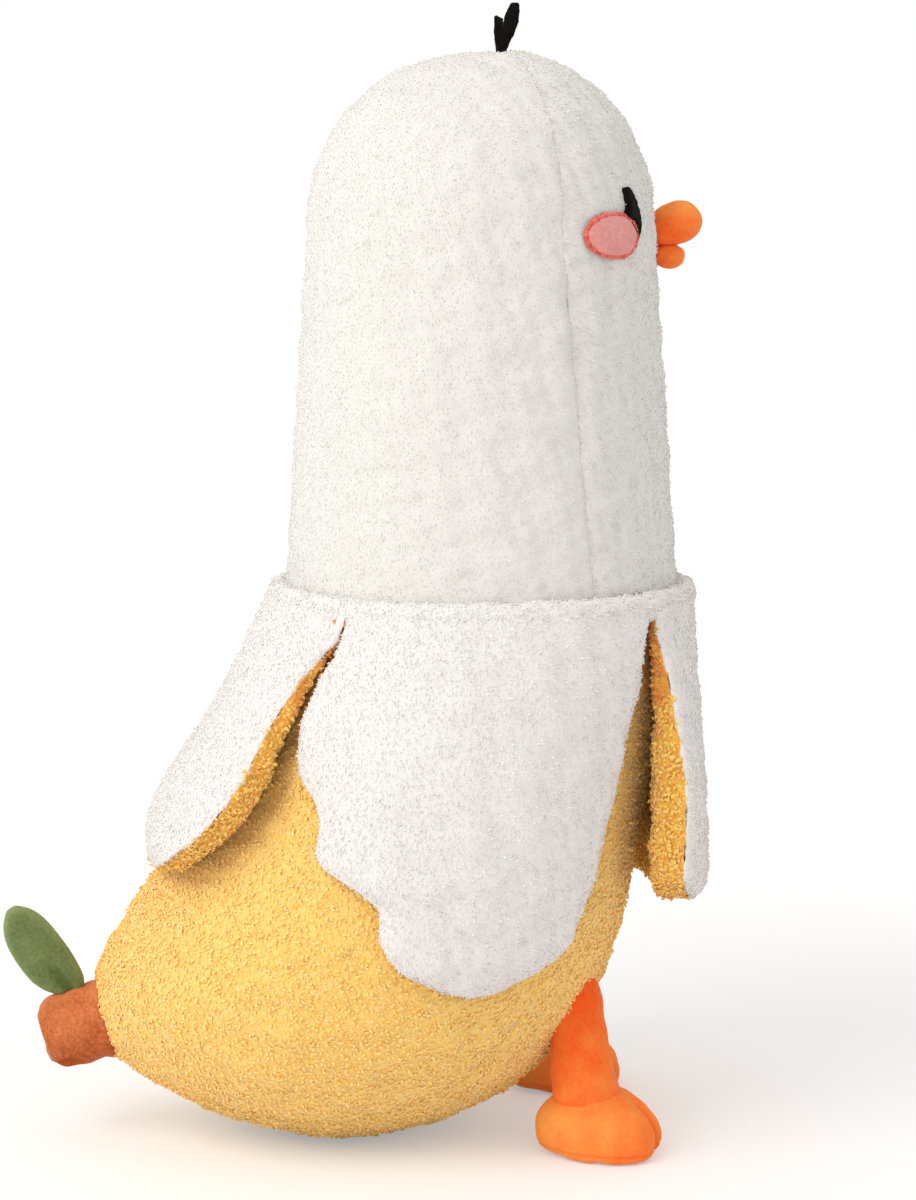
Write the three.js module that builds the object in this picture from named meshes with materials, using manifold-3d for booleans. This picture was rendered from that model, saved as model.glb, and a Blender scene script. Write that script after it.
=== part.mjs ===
// Plush duck dressed as a half-peeled banana, sitting on its belly and its two feet.
// Millimetres, +Z up. The origin is on the floor, at the middle of the flat patch under the belly.
// The duck faces -Y, its right side is -X, and the stem points to +Y.
import * as THREE from 'three';
import Module from 'manifold-3d';
import { mergeVertices } from 'three/addons/utils/BufferGeometryUtils.js';

const wasm = await Module();
wasm.setup();

// Driving dimensions of the trunk: the banana body and the tall head above it
const bodyHeight = 244;
const bodyLength = 261;
const bodyWidth = 186;
const headHeight = 236;
const crownDepth = 154;
const crownWidth = 149;
const domeHeight = 80;
const domeFullness = 1.1;
const crownLean = 9;
const crownHole = 12;
const headShell = 5;
const bodyShell = 5;
const flatDepth = 0.5;

// Peel: the collar at the neck and the four petals that hang from it
const collarThickness = 9;
const collarRise = 8;
const petalPly = 4;
const petalCrown = 7;
const hangLift = 20;
const liningRoll = 9;

// Legs and feet
const hipRadius = 14;
const hipSink = 6;
const legRadius = 13.2;
const legSkin = 2.4;
const legOpening = 5;
const ankleRadius = 15;
const ankleHeight = 26;
const ankleForward = 4;
const ankleOut = 12;
const footLength = 56;
const footWidth = 54;
const footHeight = 25;
const footSkin = 2.6;
const footHeel = 21;
const soleThickness = 3;

// Stem, leaf and tuft
const stemLength = 28;
const stemSkin = 3;
const leafLength = 44;
const leafWidth = 24;
const leafPly = 2;
const leafCrown = 4;
const tuftHeight = 21;
const tuftThickness = 2;

// Beak, eyes and cheeks
const beakSkin = 2;
const upperBeakLength = 21;
const upperBeakWidth = 31;
const upperBeakHeight = 18;
const lowerBeakLength = 13;
const lowerBeakWidth = 20;
const lowerBeakHeight = 11.5;
const eyeHeight = 22.5;
const eyeWidth = 12;
const eyeThickness = 1.4;
const cheekWidth = 34;
const cheekHeight = 19;
const cheekThickness = 1.6;
const stitchWidth = 1.6;

// Clearances: between sewn edges and plies, round stuffing and wadding, under what lies on a
// surface, and in a socket
const seamGap = 0.3;
const plyGap = 0.6;
const fillGap = 0.95;
const waddingGap = 1.4;
const restGap = 0.9;
const socketGap = 0.6;
const faceGap = 0.5;

// Angles in degrees; turns are counted from the middle of the belly or from the beak
const bellySeamTurn = 52;
const faceSeamTurn = 63;
const faceSeamCrownTurn = 70;
const hipTurn = 26;
const hipSwing = 45;
const footSplay = 8;
const eyeTurn = 40.5;
const cheekTurn = 50.5;
const upperBeakTilt = 20;
const lowerBeakTilt = -8;
const leafLean = 34;

// Belly and back lines of the body: places along bodyLength and bodyHeight, neck first
const bellyLineShare = [
  [-0.597, 1], [-0.572, 0.806], [-0.539, 0.6], [-0.505, 0.39], [-0.435, 0.221],
  [-0.295, 0.076], [-0.059, -0.001], [0.178, 0.04], [0.365, 0.14],
];
const backLineShare = [
  [0.076, 1], [0.095, 0.868], [0.151, 0.699], [0.245, 0.559], [0.316, 0.466],
  [0.348, 0.415], [0.376, 0.367], [0.392, 0.335], [0.404, 0.301],
];
// Half widths of the body at the same stations, in shares of bodyWidth
const halfWidthShare = [0.457, 0.468, 0.484, 0.5, 0.5, 0.468, 0.376, 0.242, 0.109];

// Stations are shares of the way from the neck to the stem
const collarLowShare = 0.02;
const petalTopShare = 0.0215;
const hipStationShare = 0.47;
// Collar section: share of its thickness, then of the way to its lower edge (-1) or its top (1)
const collarSectionShare = [
  [0, -1], [0.9, -1], [1, -0.3], [1, 0.3], [0.78, 0.85], [0.35, 1], [0, 0.75], [0, 0],
];

// Petal rows from the collar down: station, first and last edge in half turns, the lift of the
// middle and of the edges in shares of hangLift, padding
const frontPetalShare = [
  [0, -0.242, 0.242, 0, 0, 0], [0.05, -0.232, 0.232, 0.02, 0.33, 0.5],
  [0.1, -0.225, 0.225, 0.15, 0.63, 0.8], [0.15, -0.22, 0.22, 0.35, 0.92, 0.95],
  [0.2, -0.215, 0.215, 0.6, 1.1, 1], [0.24, -0.205, 0.205, 0.8, 1.16, 1],
  [0.272, -0.182, 0.182, 0.93, 1.13, 0.9], [0.295, -0.145, 0.145, 1, 1.08, 0.6],
  [0.308, -0.09, 0.09, 1.03, 1.05, 0.2],
];
const backPetalShare = [
  [0, 0.762, 1.238, 0, 0, 0], [0.05, 0.791, 1.209, 0.11, 0.11, 0.5],
  [0.105, 0.818, 1.182, 0.2, 0.25, 0.8], [0.165, 0.82, 1.18, 0.38, 0.6, 0.95],
  [0.225, 0.803, 1.197, 0.58, 0.95, 1], [0.285, 0.805, 1.195, 0.58, 1.08, 1],
  [0.335, 0.83, 1.17, 0.38, 0.98, 0.9], [0.375, 0.875, 1.125, 0.14, 0.7, 0.6],
  [0.395, 0.93, 1.07, 0.06, 0.38, 0.2],
];
const sidePetalShare = [
  [0, 0.741, 0.258, 0, 0, 0], [0.05, 0.758, 0.261, 0, 0, 0.45], [0.1, 0.783, 0.267, 0, 0, 0.7],
  [0.15, 0.792, 0.273, 0, 0, 0.85], [0.19, 0.78, 0.275, 0, 0, 0.9], [0.222, 0.743, 0.278, 0, 0, 0.9],
  [0.252, 0.704, 0.279, 0, 0, 0.9], [0.285, 0.688, 0.281, 0, 0, 0.9], [0.308, 0.668, 0.284, 0, 0, 0.9],
  [0.325, 0.62, 0.288, 0, 0, 0.85], [0.345, 0.572, 0.295, 0, 0, 0.8], [0.38, 0.553, 0.312, 0, 0, 0.75],
  [0.41, 0.528, 0.35, 0, 0, 0.6], [0.43, 0.502, 0.374, 0, 0, 0.4], [0.441, 0.462, 0.392, 0, 0, 0.15],
];
// How much of the gap behind a hanging petal its lining fills, and how much the leaf bulges each way
const liningShare = 0.6;
const leafPuffShare = 0.5;

// Foot outline from the middle toe round to the heel, in shares of an oval
const footOutlineShare = [
  1.03, 0.95, 1.04, 1.08, 1, 0.92, 0.86, 0.82, 0.8, 0.82, 0.88, 0.96, 1,
];
// Foot layers: share of its height, then of its outline
const footLayerShare = [[0.35, 1.02], [0.7, 0.94], [0.92, 0.7], [1, 0.36]];
const soleFootShare = 0.95;
// Shank of the leg: share of its length, then of its radius
const shankShare = [[0.35, 1], [0.6, 0.98], [0.82, 1.04]];
// Stem: share of its length, then of the body's radius at the stem
const stemProfileShare = [[0, 0.88], [0.3, 0.85], [0.6, 0.83], [0.86, 0.77], [1, 0.62]];
const stemDentShare = 0.06;
// Beak lobes: share of the length, then of the width and height
const beakProfileShare = [[0, 0.74], [0.25, 0.93], [0.5, 1], [0.75, 0.9], [0.9, 0.66], [0.98, 0.34]];
// Leaf rows: width, then padding
const leafRowShare = [
  [0.74, 0], [0.88, 0.6], [0.97, 1], [1, 1], [0.99, 1], [0.92, 0.9], [0.74, 0.6], [0.36, 0],
];
const leafStationShare = 0.42;
// Tuft outline in shares of its height: a tall lobe in front and a short one behind
const tuftOutlineShare = [
  [-0.1, 0], [-0.2, 0.2], [-0.31, 0.46], [-0.37, 0.76], [-0.34, 0.94], [-0.22, 0.95],
  [-0.11, 0.79], [-0.03, 0.57], [0, 0.64], [0.14, 0.69], [0.165, 0.35], [0.12, 0],
];
// Face heights, in shares of headHeight above the neck seam
const eyeHeightShare = 0.7;
const cheekHeightShare = 0.662;
const upperBeakHeightShare = 0.671;
const lowerBeakHeightShare = 0.624;
const eyeTipShare = 0.25;

const degree = Math.PI / 180;
const quarterTurn = Math.PI / 2;
const halfTurn = Math.PI;
const fullTurn = 2 * Math.PI;
const sides = [['right', 1], ['left', -1]];

const finish = {
  whiteFleece: { color: 0xf1eee8, roughness: 0.97 },
  whitePeel: { color: 0xede8e4, roughness: 0.97 },
  yellowFleece: { color: 0xf6c877, roughness: 0.97 },
  yellowLining: { color: 0xd9962f, roughness: 0.97 },
  fibre: { color: 0xf6f5f1, roughness: 1 },
  orangeVelvet: { color: 0xfb8233, roughness: 0.8 },
  stemVelvet: { color: 0xd1703b, roughness: 0.85 },
  leafVelvet: { color: 0x737d50, roughness: 0.85 },
  blackFelt: { color: 0x1a1615, roughness: 0.9 },
  pinkPlush: { color: 0xdc968d, roughness: 0.9 },
  redThread: { color: 0xc8452f, roughness: 0.6 },
};

const duck = new THREE.Group();

function add(name, geometry, look) {
  const material = new THREE.MeshStandardMaterial({ ...look, metalness: 0 });
  const mesh = new THREE.Mesh(geometry, material);
  mesh.name = name;
  duck.add(mesh);
}

// Closed surfaces built from rings of points
class Skin {
  constructor() {
    this.points = [];
    this.faces = [];
  }

  ring(points) {
    const first = this.points.length;
    this.points.push(...points);
    return points.map((_, i) => first + i);
  }

  // Joins two rings; up to the place given as fold, the squares are halved the other way
  strip(a, b, fold = 0) {
    a.forEach((_, i) => {
      const j = (i + 1) % a.length;
      const [near, far] = i < fold ? [a[j], b[i]] : [a[i], b[j]];
      this.faces.push(a[i], a[j], far);
      this.faces.push(near, b[j], b[i]);
    });
  }

  fan(ring, pole) {
    const [centre] = this.ring([pole]);
    ring.forEach((point, i) => this.faces.push(centre, point, ring[(i + 1) % ring.length]));
  }

  // Closes a panel's end between its outer edge and its inner edge, which runs back
  end(loop) {
    for (let i = 0; i < loop.length / 2 - 1; i += 1) {
      const far = loop.length - 1 - i;
      this.faces.push(loop[i], loop[i + 1], loop[far - 1]);
      this.faces.push(loop[i], loop[far - 1], loop[far]);
    }
  }

  volume() {
    let sum = 0;
    for (let i = 0; i < this.faces.length; i += 3) {
      const [a, b, c] = this.faces.slice(i, i + 3).map((index) => this.points[index]);
      sum += a.dot(b.clone().cross(c));
    }
    return sum;
  }

  geometry() {
    const shape = new THREE.BufferGeometry();
    const corners = this.points.flatMap((point) => point.toArray());
    shape.setAttribute('position', new THREE.Float32BufferAttribute(corners, 3));
    shape.setIndex(this.volume() > 0 ? this.faces : this.faces.toReversed());
    return shape;
  }
}

function middle(points) {
  const sum = points.reduce((total, point) => total.add(point), new THREE.Vector3());
  return sum.divideScalar(points.length);
}

// A solid through rings of points, closed by a pole at each end
function loft(rings, startPole = middle(rings[0]), endPole = middle(rings[rings.length - 1])) {
  const skin = new Skin();
  const rows = rings.map((points) => skin.ring(points));
  rows.slice(1).forEach((row, i) => skin.strip(rows[i], row));
  skin.fan(rows[0].toReversed(), startPole);
  skin.fan(rows[rows.length - 1], endPole);
  return skin.geometry();
}

// A ring-shaped solid, whose last section meets its first
function band(rings) {
  const skin = new Skin();
  const rows = rings.map((points) => skin.ring(points));
  rows.forEach((row, i) => skin.strip(row, rows[(i + 1) % rows.length]));
  return skin.geometry();
}

// A panel between an outer and an inner grid of points
function panel(outer, inner) {
  const skin = new Skin();
  const rows = outer.map((row, i) => skin.ring([...row, ...inner[i].toReversed()]));
  rows.slice(1).forEach((row, i) => skin.strip(rows[i], row, outer[i].length));
  skin.end(rows[0].toReversed());
  skin.end(rows[rows.length - 1]);
  return skin.geometry();
}

function steps(from, to, count) {
  return Array.from({ length: count + 1 }, (_, i) => from + ((to - from) * i) / count);
}

function turns(count) {
  return steps(0, fullTurn, count).slice(0, -1);
}

// Boolean cuts
function toSolid(geometry) {
  const bare = geometry.clone();
  bare.deleteAttribute('normal');
  bare.deleteAttribute('uv');
  const shape = mergeVertices(bare);
  const vertProperties = new Float32Array(shape.attributes.position.array);
  const triVerts = new Uint32Array(shape.index.array);
  return new wasm.Manifold(new wasm.Mesh({ numProp: 3, vertProperties, triVerts }));
}

function cut(geometry, ...cutters) {
  const solid = cutters.reduce((rest, cutter) => rest.subtract(toSolid(cutter)), toSolid(geometry));
  const mesh = solid.getMesh();
  const result = new THREE.BufferGeometry();
  result.setAttribute('position', new THREE.Float32BufferAttribute(mesh.vertProperties, 3));
  result.setIndex([...mesh.triVerts]);
  return result;
}

// Trunk surface: sections between the belly line and the back line
function bodyLine(shares) {
  const points = shares.map(([along, up]) => new THREE.Vector3(0, along * bodyLength, up * bodyHeight));
  return new THREE.CatmullRomCurve3(points, false, 'catmullrom');
}

const bellyLine = bodyLine(bellyLineShare);
const backLine = bodyLine(backLineShare);
const widthPoints = halfWidthShare.map((share) => new THREE.Vector3(share * bodyWidth, 0, 0));
const widthLine = new THREE.CatmullRomCurve3(widthPoints, false, 'catmullrom');
const bodyStations = steps(0, 1, 14);
const lowest = Math.min(...bodyStations.map((station) => bellyLine.getPoint(station).z));

function section(station) {
  const belly = bellyLine.getPoint(station);
  const centre = middle([belly, backLine.getPoint(station)]);
  const forward = belly.sub(centre);
  const halfDepth = forward.length();
  const halfWidth = widthLine.getPoint(station).x;
  centre.z -= lowest + flatDepth;
  return { centre, forward: forward.normalize(), halfDepth, halfWidth };
}

// A point on the body; turn runs from the belly line towards the right side, depth goes inwards
function bodyPoint(station, turn, depth) {
  const { centre, forward, halfDepth, halfWidth } = section(station);
  const point = centre.addScaledVector(forward, (halfDepth - depth) * Math.cos(turn));
  point.x = -(halfWidth - depth) * Math.sin(turn);
  return point;
}

const neck = section(0);
const domeFoot = headHeight - domeHeight;

// A point on the head; level is 0 at the neck seam, 1 at the dome's foot and 2 at the crown
function headPoint(level, turn, depth) {
  const rise = Math.min(level, 1);
  const dome = (level - rise) * quarterTurn;
  const halfDepth = THREE.MathUtils.lerp(neck.halfDepth, crownDepth / 2, rise) - depth;
  const halfWidth = THREE.MathUtils.lerp(neck.halfWidth, crownWidth / 2, rise) - depth;
  const shrink = Math.cos(dome) ** (1 / domeFullness);
  return new THREE.Vector3(
    -halfWidth * shrink * Math.sin(turn),
    neck.centre.y - crownLean * (1 - shrink) ** 2 - halfDepth * shrink * Math.cos(turn),
    neck.centre.z + domeFoot * rise + (domeHeight - depth) * Math.sin(dome) ** (1 / domeFullness),
  );
}

// The level of a height above the neck seam
function headLevel(height) {
  if (height < domeFoot) return height / domeFoot;
  return 1 + Math.asin(((height - domeFoot) / domeHeight) ** domeFullness) / quarterTurn;
}

// A row of panel points between two seams, half a seam gap clear of each
function panelRow(place, from, to, count) {
  const radius = place(from).distanceTo(place(from + halfTurn)) / 2;
  const gap = seamGap / (2 * radius);
  return steps(from + gap, to - gap, count).map(place);
}

// Head: a front panel, two back panels and the stuffing
const crownLevel = 1 + Math.acos((crownHole / crownDepth) ** domeFullness) / quarterTurn;
const headLevels = [...steps(headLevel(seamGap), 1, 4), ...steps(1, crownLevel, 7).slice(1)];

function faceSeam(level) {
  return THREE.MathUtils.lerp(faceSeamTurn, faceSeamCrownTurn, Math.min(level, 1)) * degree;
}

function headPanel(from, to, count) {
  const row = (level, depth) => panelRow(
    (turn) => headPoint(level, turn, depth),
    from(level),
    to(level),
    count,
  );
  const sheet = (depth) => headLevels.map((level) => row(level, depth));
  return panel(sheet(0), sheet(headShell));
}

function addHead() {
  const front = headPanel((level) => -faceSeam(level), faceSeam, 10);
  const backRight = headPanel(faceSeam, () => halfTurn, 8);
  const backLeft = headPanel(() => -halfTurn, (level) => -faceSeam(level), 8);
  const depth = headShell + fillGap;
  const rings = headLevels.map((level) => turns(20).map((turn) => headPoint(level, turn, depth)));
  add('head_front_panel', front, finish.whiteFleece);
  add('head_back_panel_right', backRight, finish.whiteFleece);
  add('head_back_panel_left', backLeft, finish.whiteFleece);
  add('head_stuffing', loft(rings, undefined, headPoint(2, 0, depth)), finish.fibre);
}

// Collar: the folded top of the peel round the neck
function collarSection(turn) {
  return collarSectionShare.map(([out, along]) => {
    const depth = -restGap - out * collarThickness;
    if (along < 0) return bodyPoint(-along * collarLowShare, turn, depth);
    return headPoint(headLevel(along * collarRise), turn, depth);
  });
}

function addCollar() {
  add('peel_collar', band(turns(32).map(collarSection)), finish.whitePeel);
}

// Hips and ankles
function hipCentre(side) {
  return bodyPoint(hipStationShare, side * hipTurn * degree, hipSink);
}

function ankleCentre(side) {
  const hip = hipCentre(side);
  return new THREE.Vector3(hip.x - side * ankleOut, hip.y - ankleForward, ankleHeight);
}

function ball(centre, radius) {
  return new THREE.SphereGeometry(radius, 16, 10).translate(centre.x, centre.y, centre.z);
}

// Room for the leg when it is swung forwards by an angle
function shankRoom(side, swing) {
  const hip = hipCentre(side);
  const along = ankleCentre(side).sub(hip).applyAxisAngle(new THREE.Vector3(-1, 0, 0), swing);
  const room = new THREE.CylinderGeometry(1, 1, 1, 16).scale(
    hipRadius + socketGap,
    along.length(),
    hipRadius + socketGap,
  );
  const centre = hip.addScaledVector(along, 0.5);
  const upright = new THREE.Vector3(0, 1, 0);
  room.applyQuaternion(new THREE.Quaternion().setFromUnitVectors(upright, along.normalize()));
  return room.translate(centre.x, centre.y, centre.z);
}

function hipPocket(side) {
  return [
    ball(hipCentre(side), hipRadius + socketGap),
    ...steps(0, hipSwing * degree, 2).map((swing) => shankRoom(side, swing)),
    ball(ankleCentre(side), ankleRadius + socketGap),
  ];
}

// Body: a belly panel with the hip pockets, two side panels and the stuffing
function bodyPanel(from, to, count) {
  const row = (station, depth) => panelRow((turn) => bodyPoint(station, turn, depth), from, to, count);
  const sheet = (depth) => bodyStations.map((station) => row(station, depth));
  return panel(sheet(0), sheet(bodyShell));
}

function addBody() {
  const seam = bellySeamTurn * degree;
  const floor = new THREE.BoxGeometry(2 * bodyLength, 2 * bodyLength, bodyHeight);
  floor.translate(0, 0, -bodyHeight / 2);
  const pockets = sides.flatMap(([, side]) => hipPocket(side));
  const depth = bodyShell + fillGap;
  const rings = bodyStations.map((station) => turns(20).map((turn) => bodyPoint(station, turn, depth)));
  add('body_belly_panel', cut(bodyPanel(-seam, seam, 9), floor, ...pockets), finish.yellowFleece);
  add('body_right_panel', bodyPanel(seam, halfTurn, 9), finish.yellowFleece);
  add('body_left_panel', bodyPanel(-halfTurn, -seam, 9), finish.yellowFleece);
  add('body_stuffing', cut(loft(rings), ...pockets), finish.fibre);
}

// A padded flap: two plies sewn at their edges over a wadding
// place(row, column, offset) gives its points; offset is measured outwards from its inner face
function paddedFlap({ rows, place, padding, lining, ply, crown, puffShare }) {
  const bulge = (row, column) => crown * padding(row) * (1 - column ** 2);
  const inside = (rise) => (row, column) => rise - puffShare * bulge(row, column);
  const outside = (rise) => (row, column) => rise + (1 - puffShare) * bulge(row, column);
  const face = (row, column) => inside(0)(row, column) - lining(row, column);
  const surface = (rowList, columnList, offset) => rowList.map(
    (row) => columnList.map((column) => place(row, column, offset(row, column))),
  );
  const columns = steps(-1, 1, 8);
  const sheet = (offset) => surface(rows, columns, offset);
  const inner = panel(sheet(inside(ply)), sheet(face));
  const outer = panel(sheet(outside(2 * ply + plyGap)), sheet(outside(ply + plyGap)));
  const fillRows = rows.slice(1, -2);
  const fillColumns = columns.slice(1, -1);
  const filling = panel(
    surface(fillRows, fillColumns, outside(ply + plyGap - waddingGap / 2)),
    surface(fillRows, fillColumns, inside(ply + waddingGap / 2)),
  );
  return { inner, outer, filling };
}

// How far a petal hangs off the body
function hang([, , , lift, edgeLift], column) {
  return hangLift * THREE.MathUtils.lerp(lift, edgeLift, column ** 2);
}

function petalPoint(row, column, offset) {
  const [station, from, to] = row;
  const turn = THREE.MathUtils.lerp(from, to, (column + 1) / 2) * halfTurn;
  return bodyPoint(petalTopShare + station, turn, -restGap - hang(row, column) - offset);
}

function mirrored(rows) {
  return rows.map(([station, from, to, ...rest]) => [station, -from, -to, ...rest]);
}

function addPetal(name, rows) {
  const { inner, outer, filling } = paddedFlap({
    rows,
    place: petalPoint,
    padding: (row) => row[row.length - 1],
    lining: (row, column) => Math.min(liningRoll, liningShare * hang(row, column)),
    ply: petalPly,
    crown: petalCrown,
    puffShare: 0,
  });
  add(`${name}_petal_white_ply`, outer, finish.whitePeel);
  add(`${name}_petal_wadding`, filling, finish.fibre);
  add(`${name}_petal_yellow_ply`, inner, finish.yellowLining);
}

function addPetals() {
  addPetal('front', frontPetalShare);
  addPetal('back', backPetalShare);
  addPetal('right', sidePetalShare);
  addPetal('left', mirrored(sidePetalShare));
}

// Circle of points round an axis
function circle(centre, axis, across, radius, count) {
  const other = axis.clone().cross(across);
  return turns(count).map((turn) => centre.clone()
    .addScaledVector(across, radius * Math.cos(turn))
    .addScaledVector(other, radius * Math.sin(turn)));
}

// Leg: a ball at the hip, a shank, and a ball at the ankle
function legProfile(length, depth) {
  const cap = (radius, centre, from, to) => steps(from, to, 3).map(
    (angle) => [centre - (radius - depth) * Math.cos(angle), (radius - depth) * Math.sin(angle)],
  );
  const shank = shankShare.map(([along, size]) => [along * length, size * legRadius - depth]);
  const hipMouth = Math.asin(legOpening / hipRadius);
  const ankleMouth = Math.asin(legOpening / ankleRadius);
  return [
    ...cap(hipRadius, 0, hipMouth, quarterTurn),
    ...shank,
    ...cap(ankleRadius, length, quarterTurn, halfTurn - ankleMouth),
  ];
}

function addLeg(name, side) {
  const hip = hipCentre(side);
  const axis = ankleCentre(side).sub(hip);
  const length = axis.length();
  axis.normalize();
  const across = new THREE.Vector3(1, 0, 0).projectOnPlane(axis).normalize();
  const rings = (depth) => legProfile(length, depth).map(
    ([along, radius]) => circle(hip.clone().addScaledVector(axis, along), axis, across, radius, 14),
  );
  const sleeve = band([...rings(0), ...rings(legSkin).toReversed()]);
  add(`${name}_leg_sleeve`, sleeve, finish.orangeVelvet);
  add(`${name}_leg_stuffing`, loft(rings(legSkin + seamGap)), finish.fibre);
}

// Foot: a flat sole, a domed upper and its stuffing, with a socket for the ankle
function footRing(side, height, scale, depth) {
  const ankle = ankleCentre(side);
  const splay = footSplay * degree;
  const toes = new THREE.Vector3(-side * Math.sin(splay), -Math.cos(splay), 0);
  const across = new THREE.Vector3(toes.y, -toes.x, 0);
  const centre = ankle.addScaledVector(toes, footLength / 2 - footHeel).setZ(height);
  const count = 2 * (footOutlineShare.length - 1);
  return turns(count).map((turn, i) => {
    const reach = footOutlineShare[Math.min(i, count - i)] * scale;
    return centre.clone()
      .addScaledVector(toes, (footLength / 2 - depth) * reach * Math.cos(turn))
      .addScaledVector(across, (footWidth / 2 - depth) * reach * Math.sin(turn));
  });
}

function footDome(side, base, depth) {
  const bottom = footRing(side, base, 1, depth);
  const layers = footLayerShare.map(
    ([up, scale]) => footRing(side, base + up * (footHeight - depth - base), scale, depth),
  );
  return [bottom, ...layers];
}

function addFoot(name, side) {
  const socket = ball(ankleCentre(side), ankleRadius + socketGap);
  const base = soleThickness + seamGap;
  const shell = [...footDome(side, base, 0).toReversed(), ...footDome(side, base, footSkin)];
  const filling = footDome(side, base, footSkin + seamGap);
  const sole = [footRing(side, 0, soleFootShare, 0), footRing(side, soleThickness, 1, 0)];
  add(`${name}_foot_upper`, cut(loft(shell), socket), finish.orangeVelvet);
  add(`${name}_foot_stuffing`, cut(loft(filling), socket), finish.fibre);
  add(`${name}_foot_sole`, loft(sole), finish.orangeVelvet);
}

// Stem: a sleeve, a gathered end cap and its stuffing
const tail = section(1);
const stemAxis = new THREE.Vector3(1, 0, 0).cross(tail.forward).negate();
stemAxis.multiplyScalar(Math.sign(stemAxis.y));

function stemRing(along, radius) {
  const centre = tail.centre.clone().addScaledVector(stemAxis, along);
  return circle(centre, stemAxis, tail.forward, radius, 16);
}

function addStem() {
  const profile = (depth) => stemProfileShare.map(
    ([along, size]) => stemRing(seamGap + along * stemLength, size * tail.halfDepth - depth),
  );
  const [, mouthShare] = stemProfileShare[stemProfileShare.length - 1];
  const capRadius = mouthShare * tail.halfDepth - stemSkin - seamGap;
  const capEnd = seamGap + stemLength;
  const capStart = capEnd - stemSkin;
  const dent = tail.centre.clone().addScaledVector(stemAxis, capEnd - stemDentShare * stemLength);
  const cap = [stemRing(capStart, capRadius), stemRing(capEnd, capRadius), stemRing(capEnd, capRadius / 2)];
  const filling = [
    ...profile(stemSkin + seamGap).slice(0, -2),
    stemRing(capStart - seamGap, capRadius),
  ];
  add('stem_sleeve', band([...profile(0), ...profile(stemSkin).toReversed()]), finish.stemVelvet);
  add('stem_end_cap', loft(cap, undefined, dent), finish.stemVelvet);
  add('stem_stuffing', loft(filling), finish.fibre);
}

// Leaf: it stands on the stem, beside the body
function addLeaf() {
  const up = tail.forward.clone().negate();
  const lean = leafLean * degree;
  const along = new THREE.Vector3(0, Math.sin(lean), Math.cos(lean));
  const across = new THREE.Vector3(0, Math.cos(lean), -Math.sin(lean));
  const [, rootShare] = stemProfileShare[0];
  const root = tail.centre.clone()
    .addScaledVector(stemAxis, leafStationShare * stemLength)
    .addScaledVector(up, rootShare * tail.halfDepth + socketGap);
  const side = new THREE.Vector3(1, 0, 0);
  const spread = (row) => stemAxis.clone().lerp(across, Math.min(row / 2, 1)).normalize();
  const place = (row, column, offset) => root.clone()
    .addScaledVector(along, (leafLength * row) / (leafRowShare.length - 1))
    .addScaledVector(spread(row), (leafWidth / 2) * leafRowShare[row][0] * column)
    .addScaledVector(side, offset - leafPly);
  const { inner, outer, filling } = paddedFlap({
    rows: [...leafRowShare.keys()],
    place,
    padding: (row) => leafRowShare[row][1],
    lining: () => 0,
    ply: leafPly,
    crown: leafCrown,
    puffShare: leafPuffShare,
  });
  add('leaf_right_ply', inner, finish.leafVelvet);
  add('leaf_wadding', filling, finish.fibre);
  add('leaf_left_ply', outer, finish.leafVelvet);
}

// Tuft: one piece of felt whose root stands in the hole at the crown
function addTuft() {
  const crown = headPoint(2, 0, 0);
  const outline = tuftOutlineShare.map(([x, y]) => new THREE.Vector2(x, y).multiplyScalar(tuftHeight));
  const first = outline[0];
  const last = outline[outline.length - 1];
  const curve = new THREE.SplineCurve(outline).getPoints(26);
  const depth = headShell + fillGap - seamGap;
  const root = [new THREE.Vector2(last.x, -depth), new THREE.Vector2(first.x, -depth)];
  const felt = new THREE.ExtrudeGeometry(new THREE.Shape([...curve, ...root]), {
    depth: tuftThickness,
    bevelEnabled: false,
  });
  felt.translate(0, 0, -tuftThickness / 2);
  const upright = new THREE.Matrix4().makeBasis(
    new THREE.Vector3(0, 1, 0),
    new THREE.Vector3(0, 0, 1),
    new THREE.Vector3(1, 0, 0),
  );
  felt.applyMatrix4(upright).translate(crown.x, crown.y, crown.z);
  add('hair_tuft', felt, finish.blackFelt);
}

// Moves a point along Y until it stands the given offset in front of the face
function ontoFace(point, offset) {
  const level = headLevel(point.z - neck.centre.z);
  const halfWidth = headPoint(level, -quarterTurn, -offset).x;
  return point.setY(headPoint(level, Math.asin(point.x / halfWidth), -offset).y);
}

// Beak: two stuffed lobes sewn to the face
function beakRings(heightShare, tilt, length, width, height, depth) {
  const root = headPoint(headLevel(heightShare * headHeight), 0, -restGap);
  const lean = tilt * degree;
  const axis = new THREE.Vector3(0, -Math.cos(lean), Math.sin(lean));
  const up = new THREE.Vector3(0, Math.sin(lean), Math.cos(lean));
  const across = new THREE.Vector3(1, 0, 0);
  return beakProfileShare.map(([along, size]) => {
    const centre = root.clone().addScaledVector(axis, along * (length - depth));
    const ring = turns(14).map((turn) => centre.clone()
      .addScaledVector(across, ((width * size) / 2 - depth * size) * Math.cos(turn))
      .addScaledVector(up, ((height * size) / 2 - depth * size) * Math.sin(turn)));
    return along > 0 ? ring : ring.map((point) => ontoFace(point, restGap));
  });
}

function addBeakLobe(name, ...sizes) {
  const rings = (depth) => beakRings(...sizes, depth);
  const shell = [...rings(0).toReversed(), ...rings(beakSkin)];
  add(`beak_${name}_cover`, loft(shell), finish.orangeVelvet);
  add(`beak_${name}_stuffing`, loft(rings(beakSkin + seamGap)), finish.fibre);
}

function addBeak() {
  addBeakLobe(
    'upper',
    upperBeakHeightShare,
    upperBeakTilt,
    upperBeakLength,
    upperBeakWidth,
    upperBeakHeight,
  );
  addBeakLobe(
    'lower',
    lowerBeakHeightShare,
    lowerBeakTilt,
    lowerBeakLength,
    lowerBeakWidth,
    lowerBeakHeight,
  );
}

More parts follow.
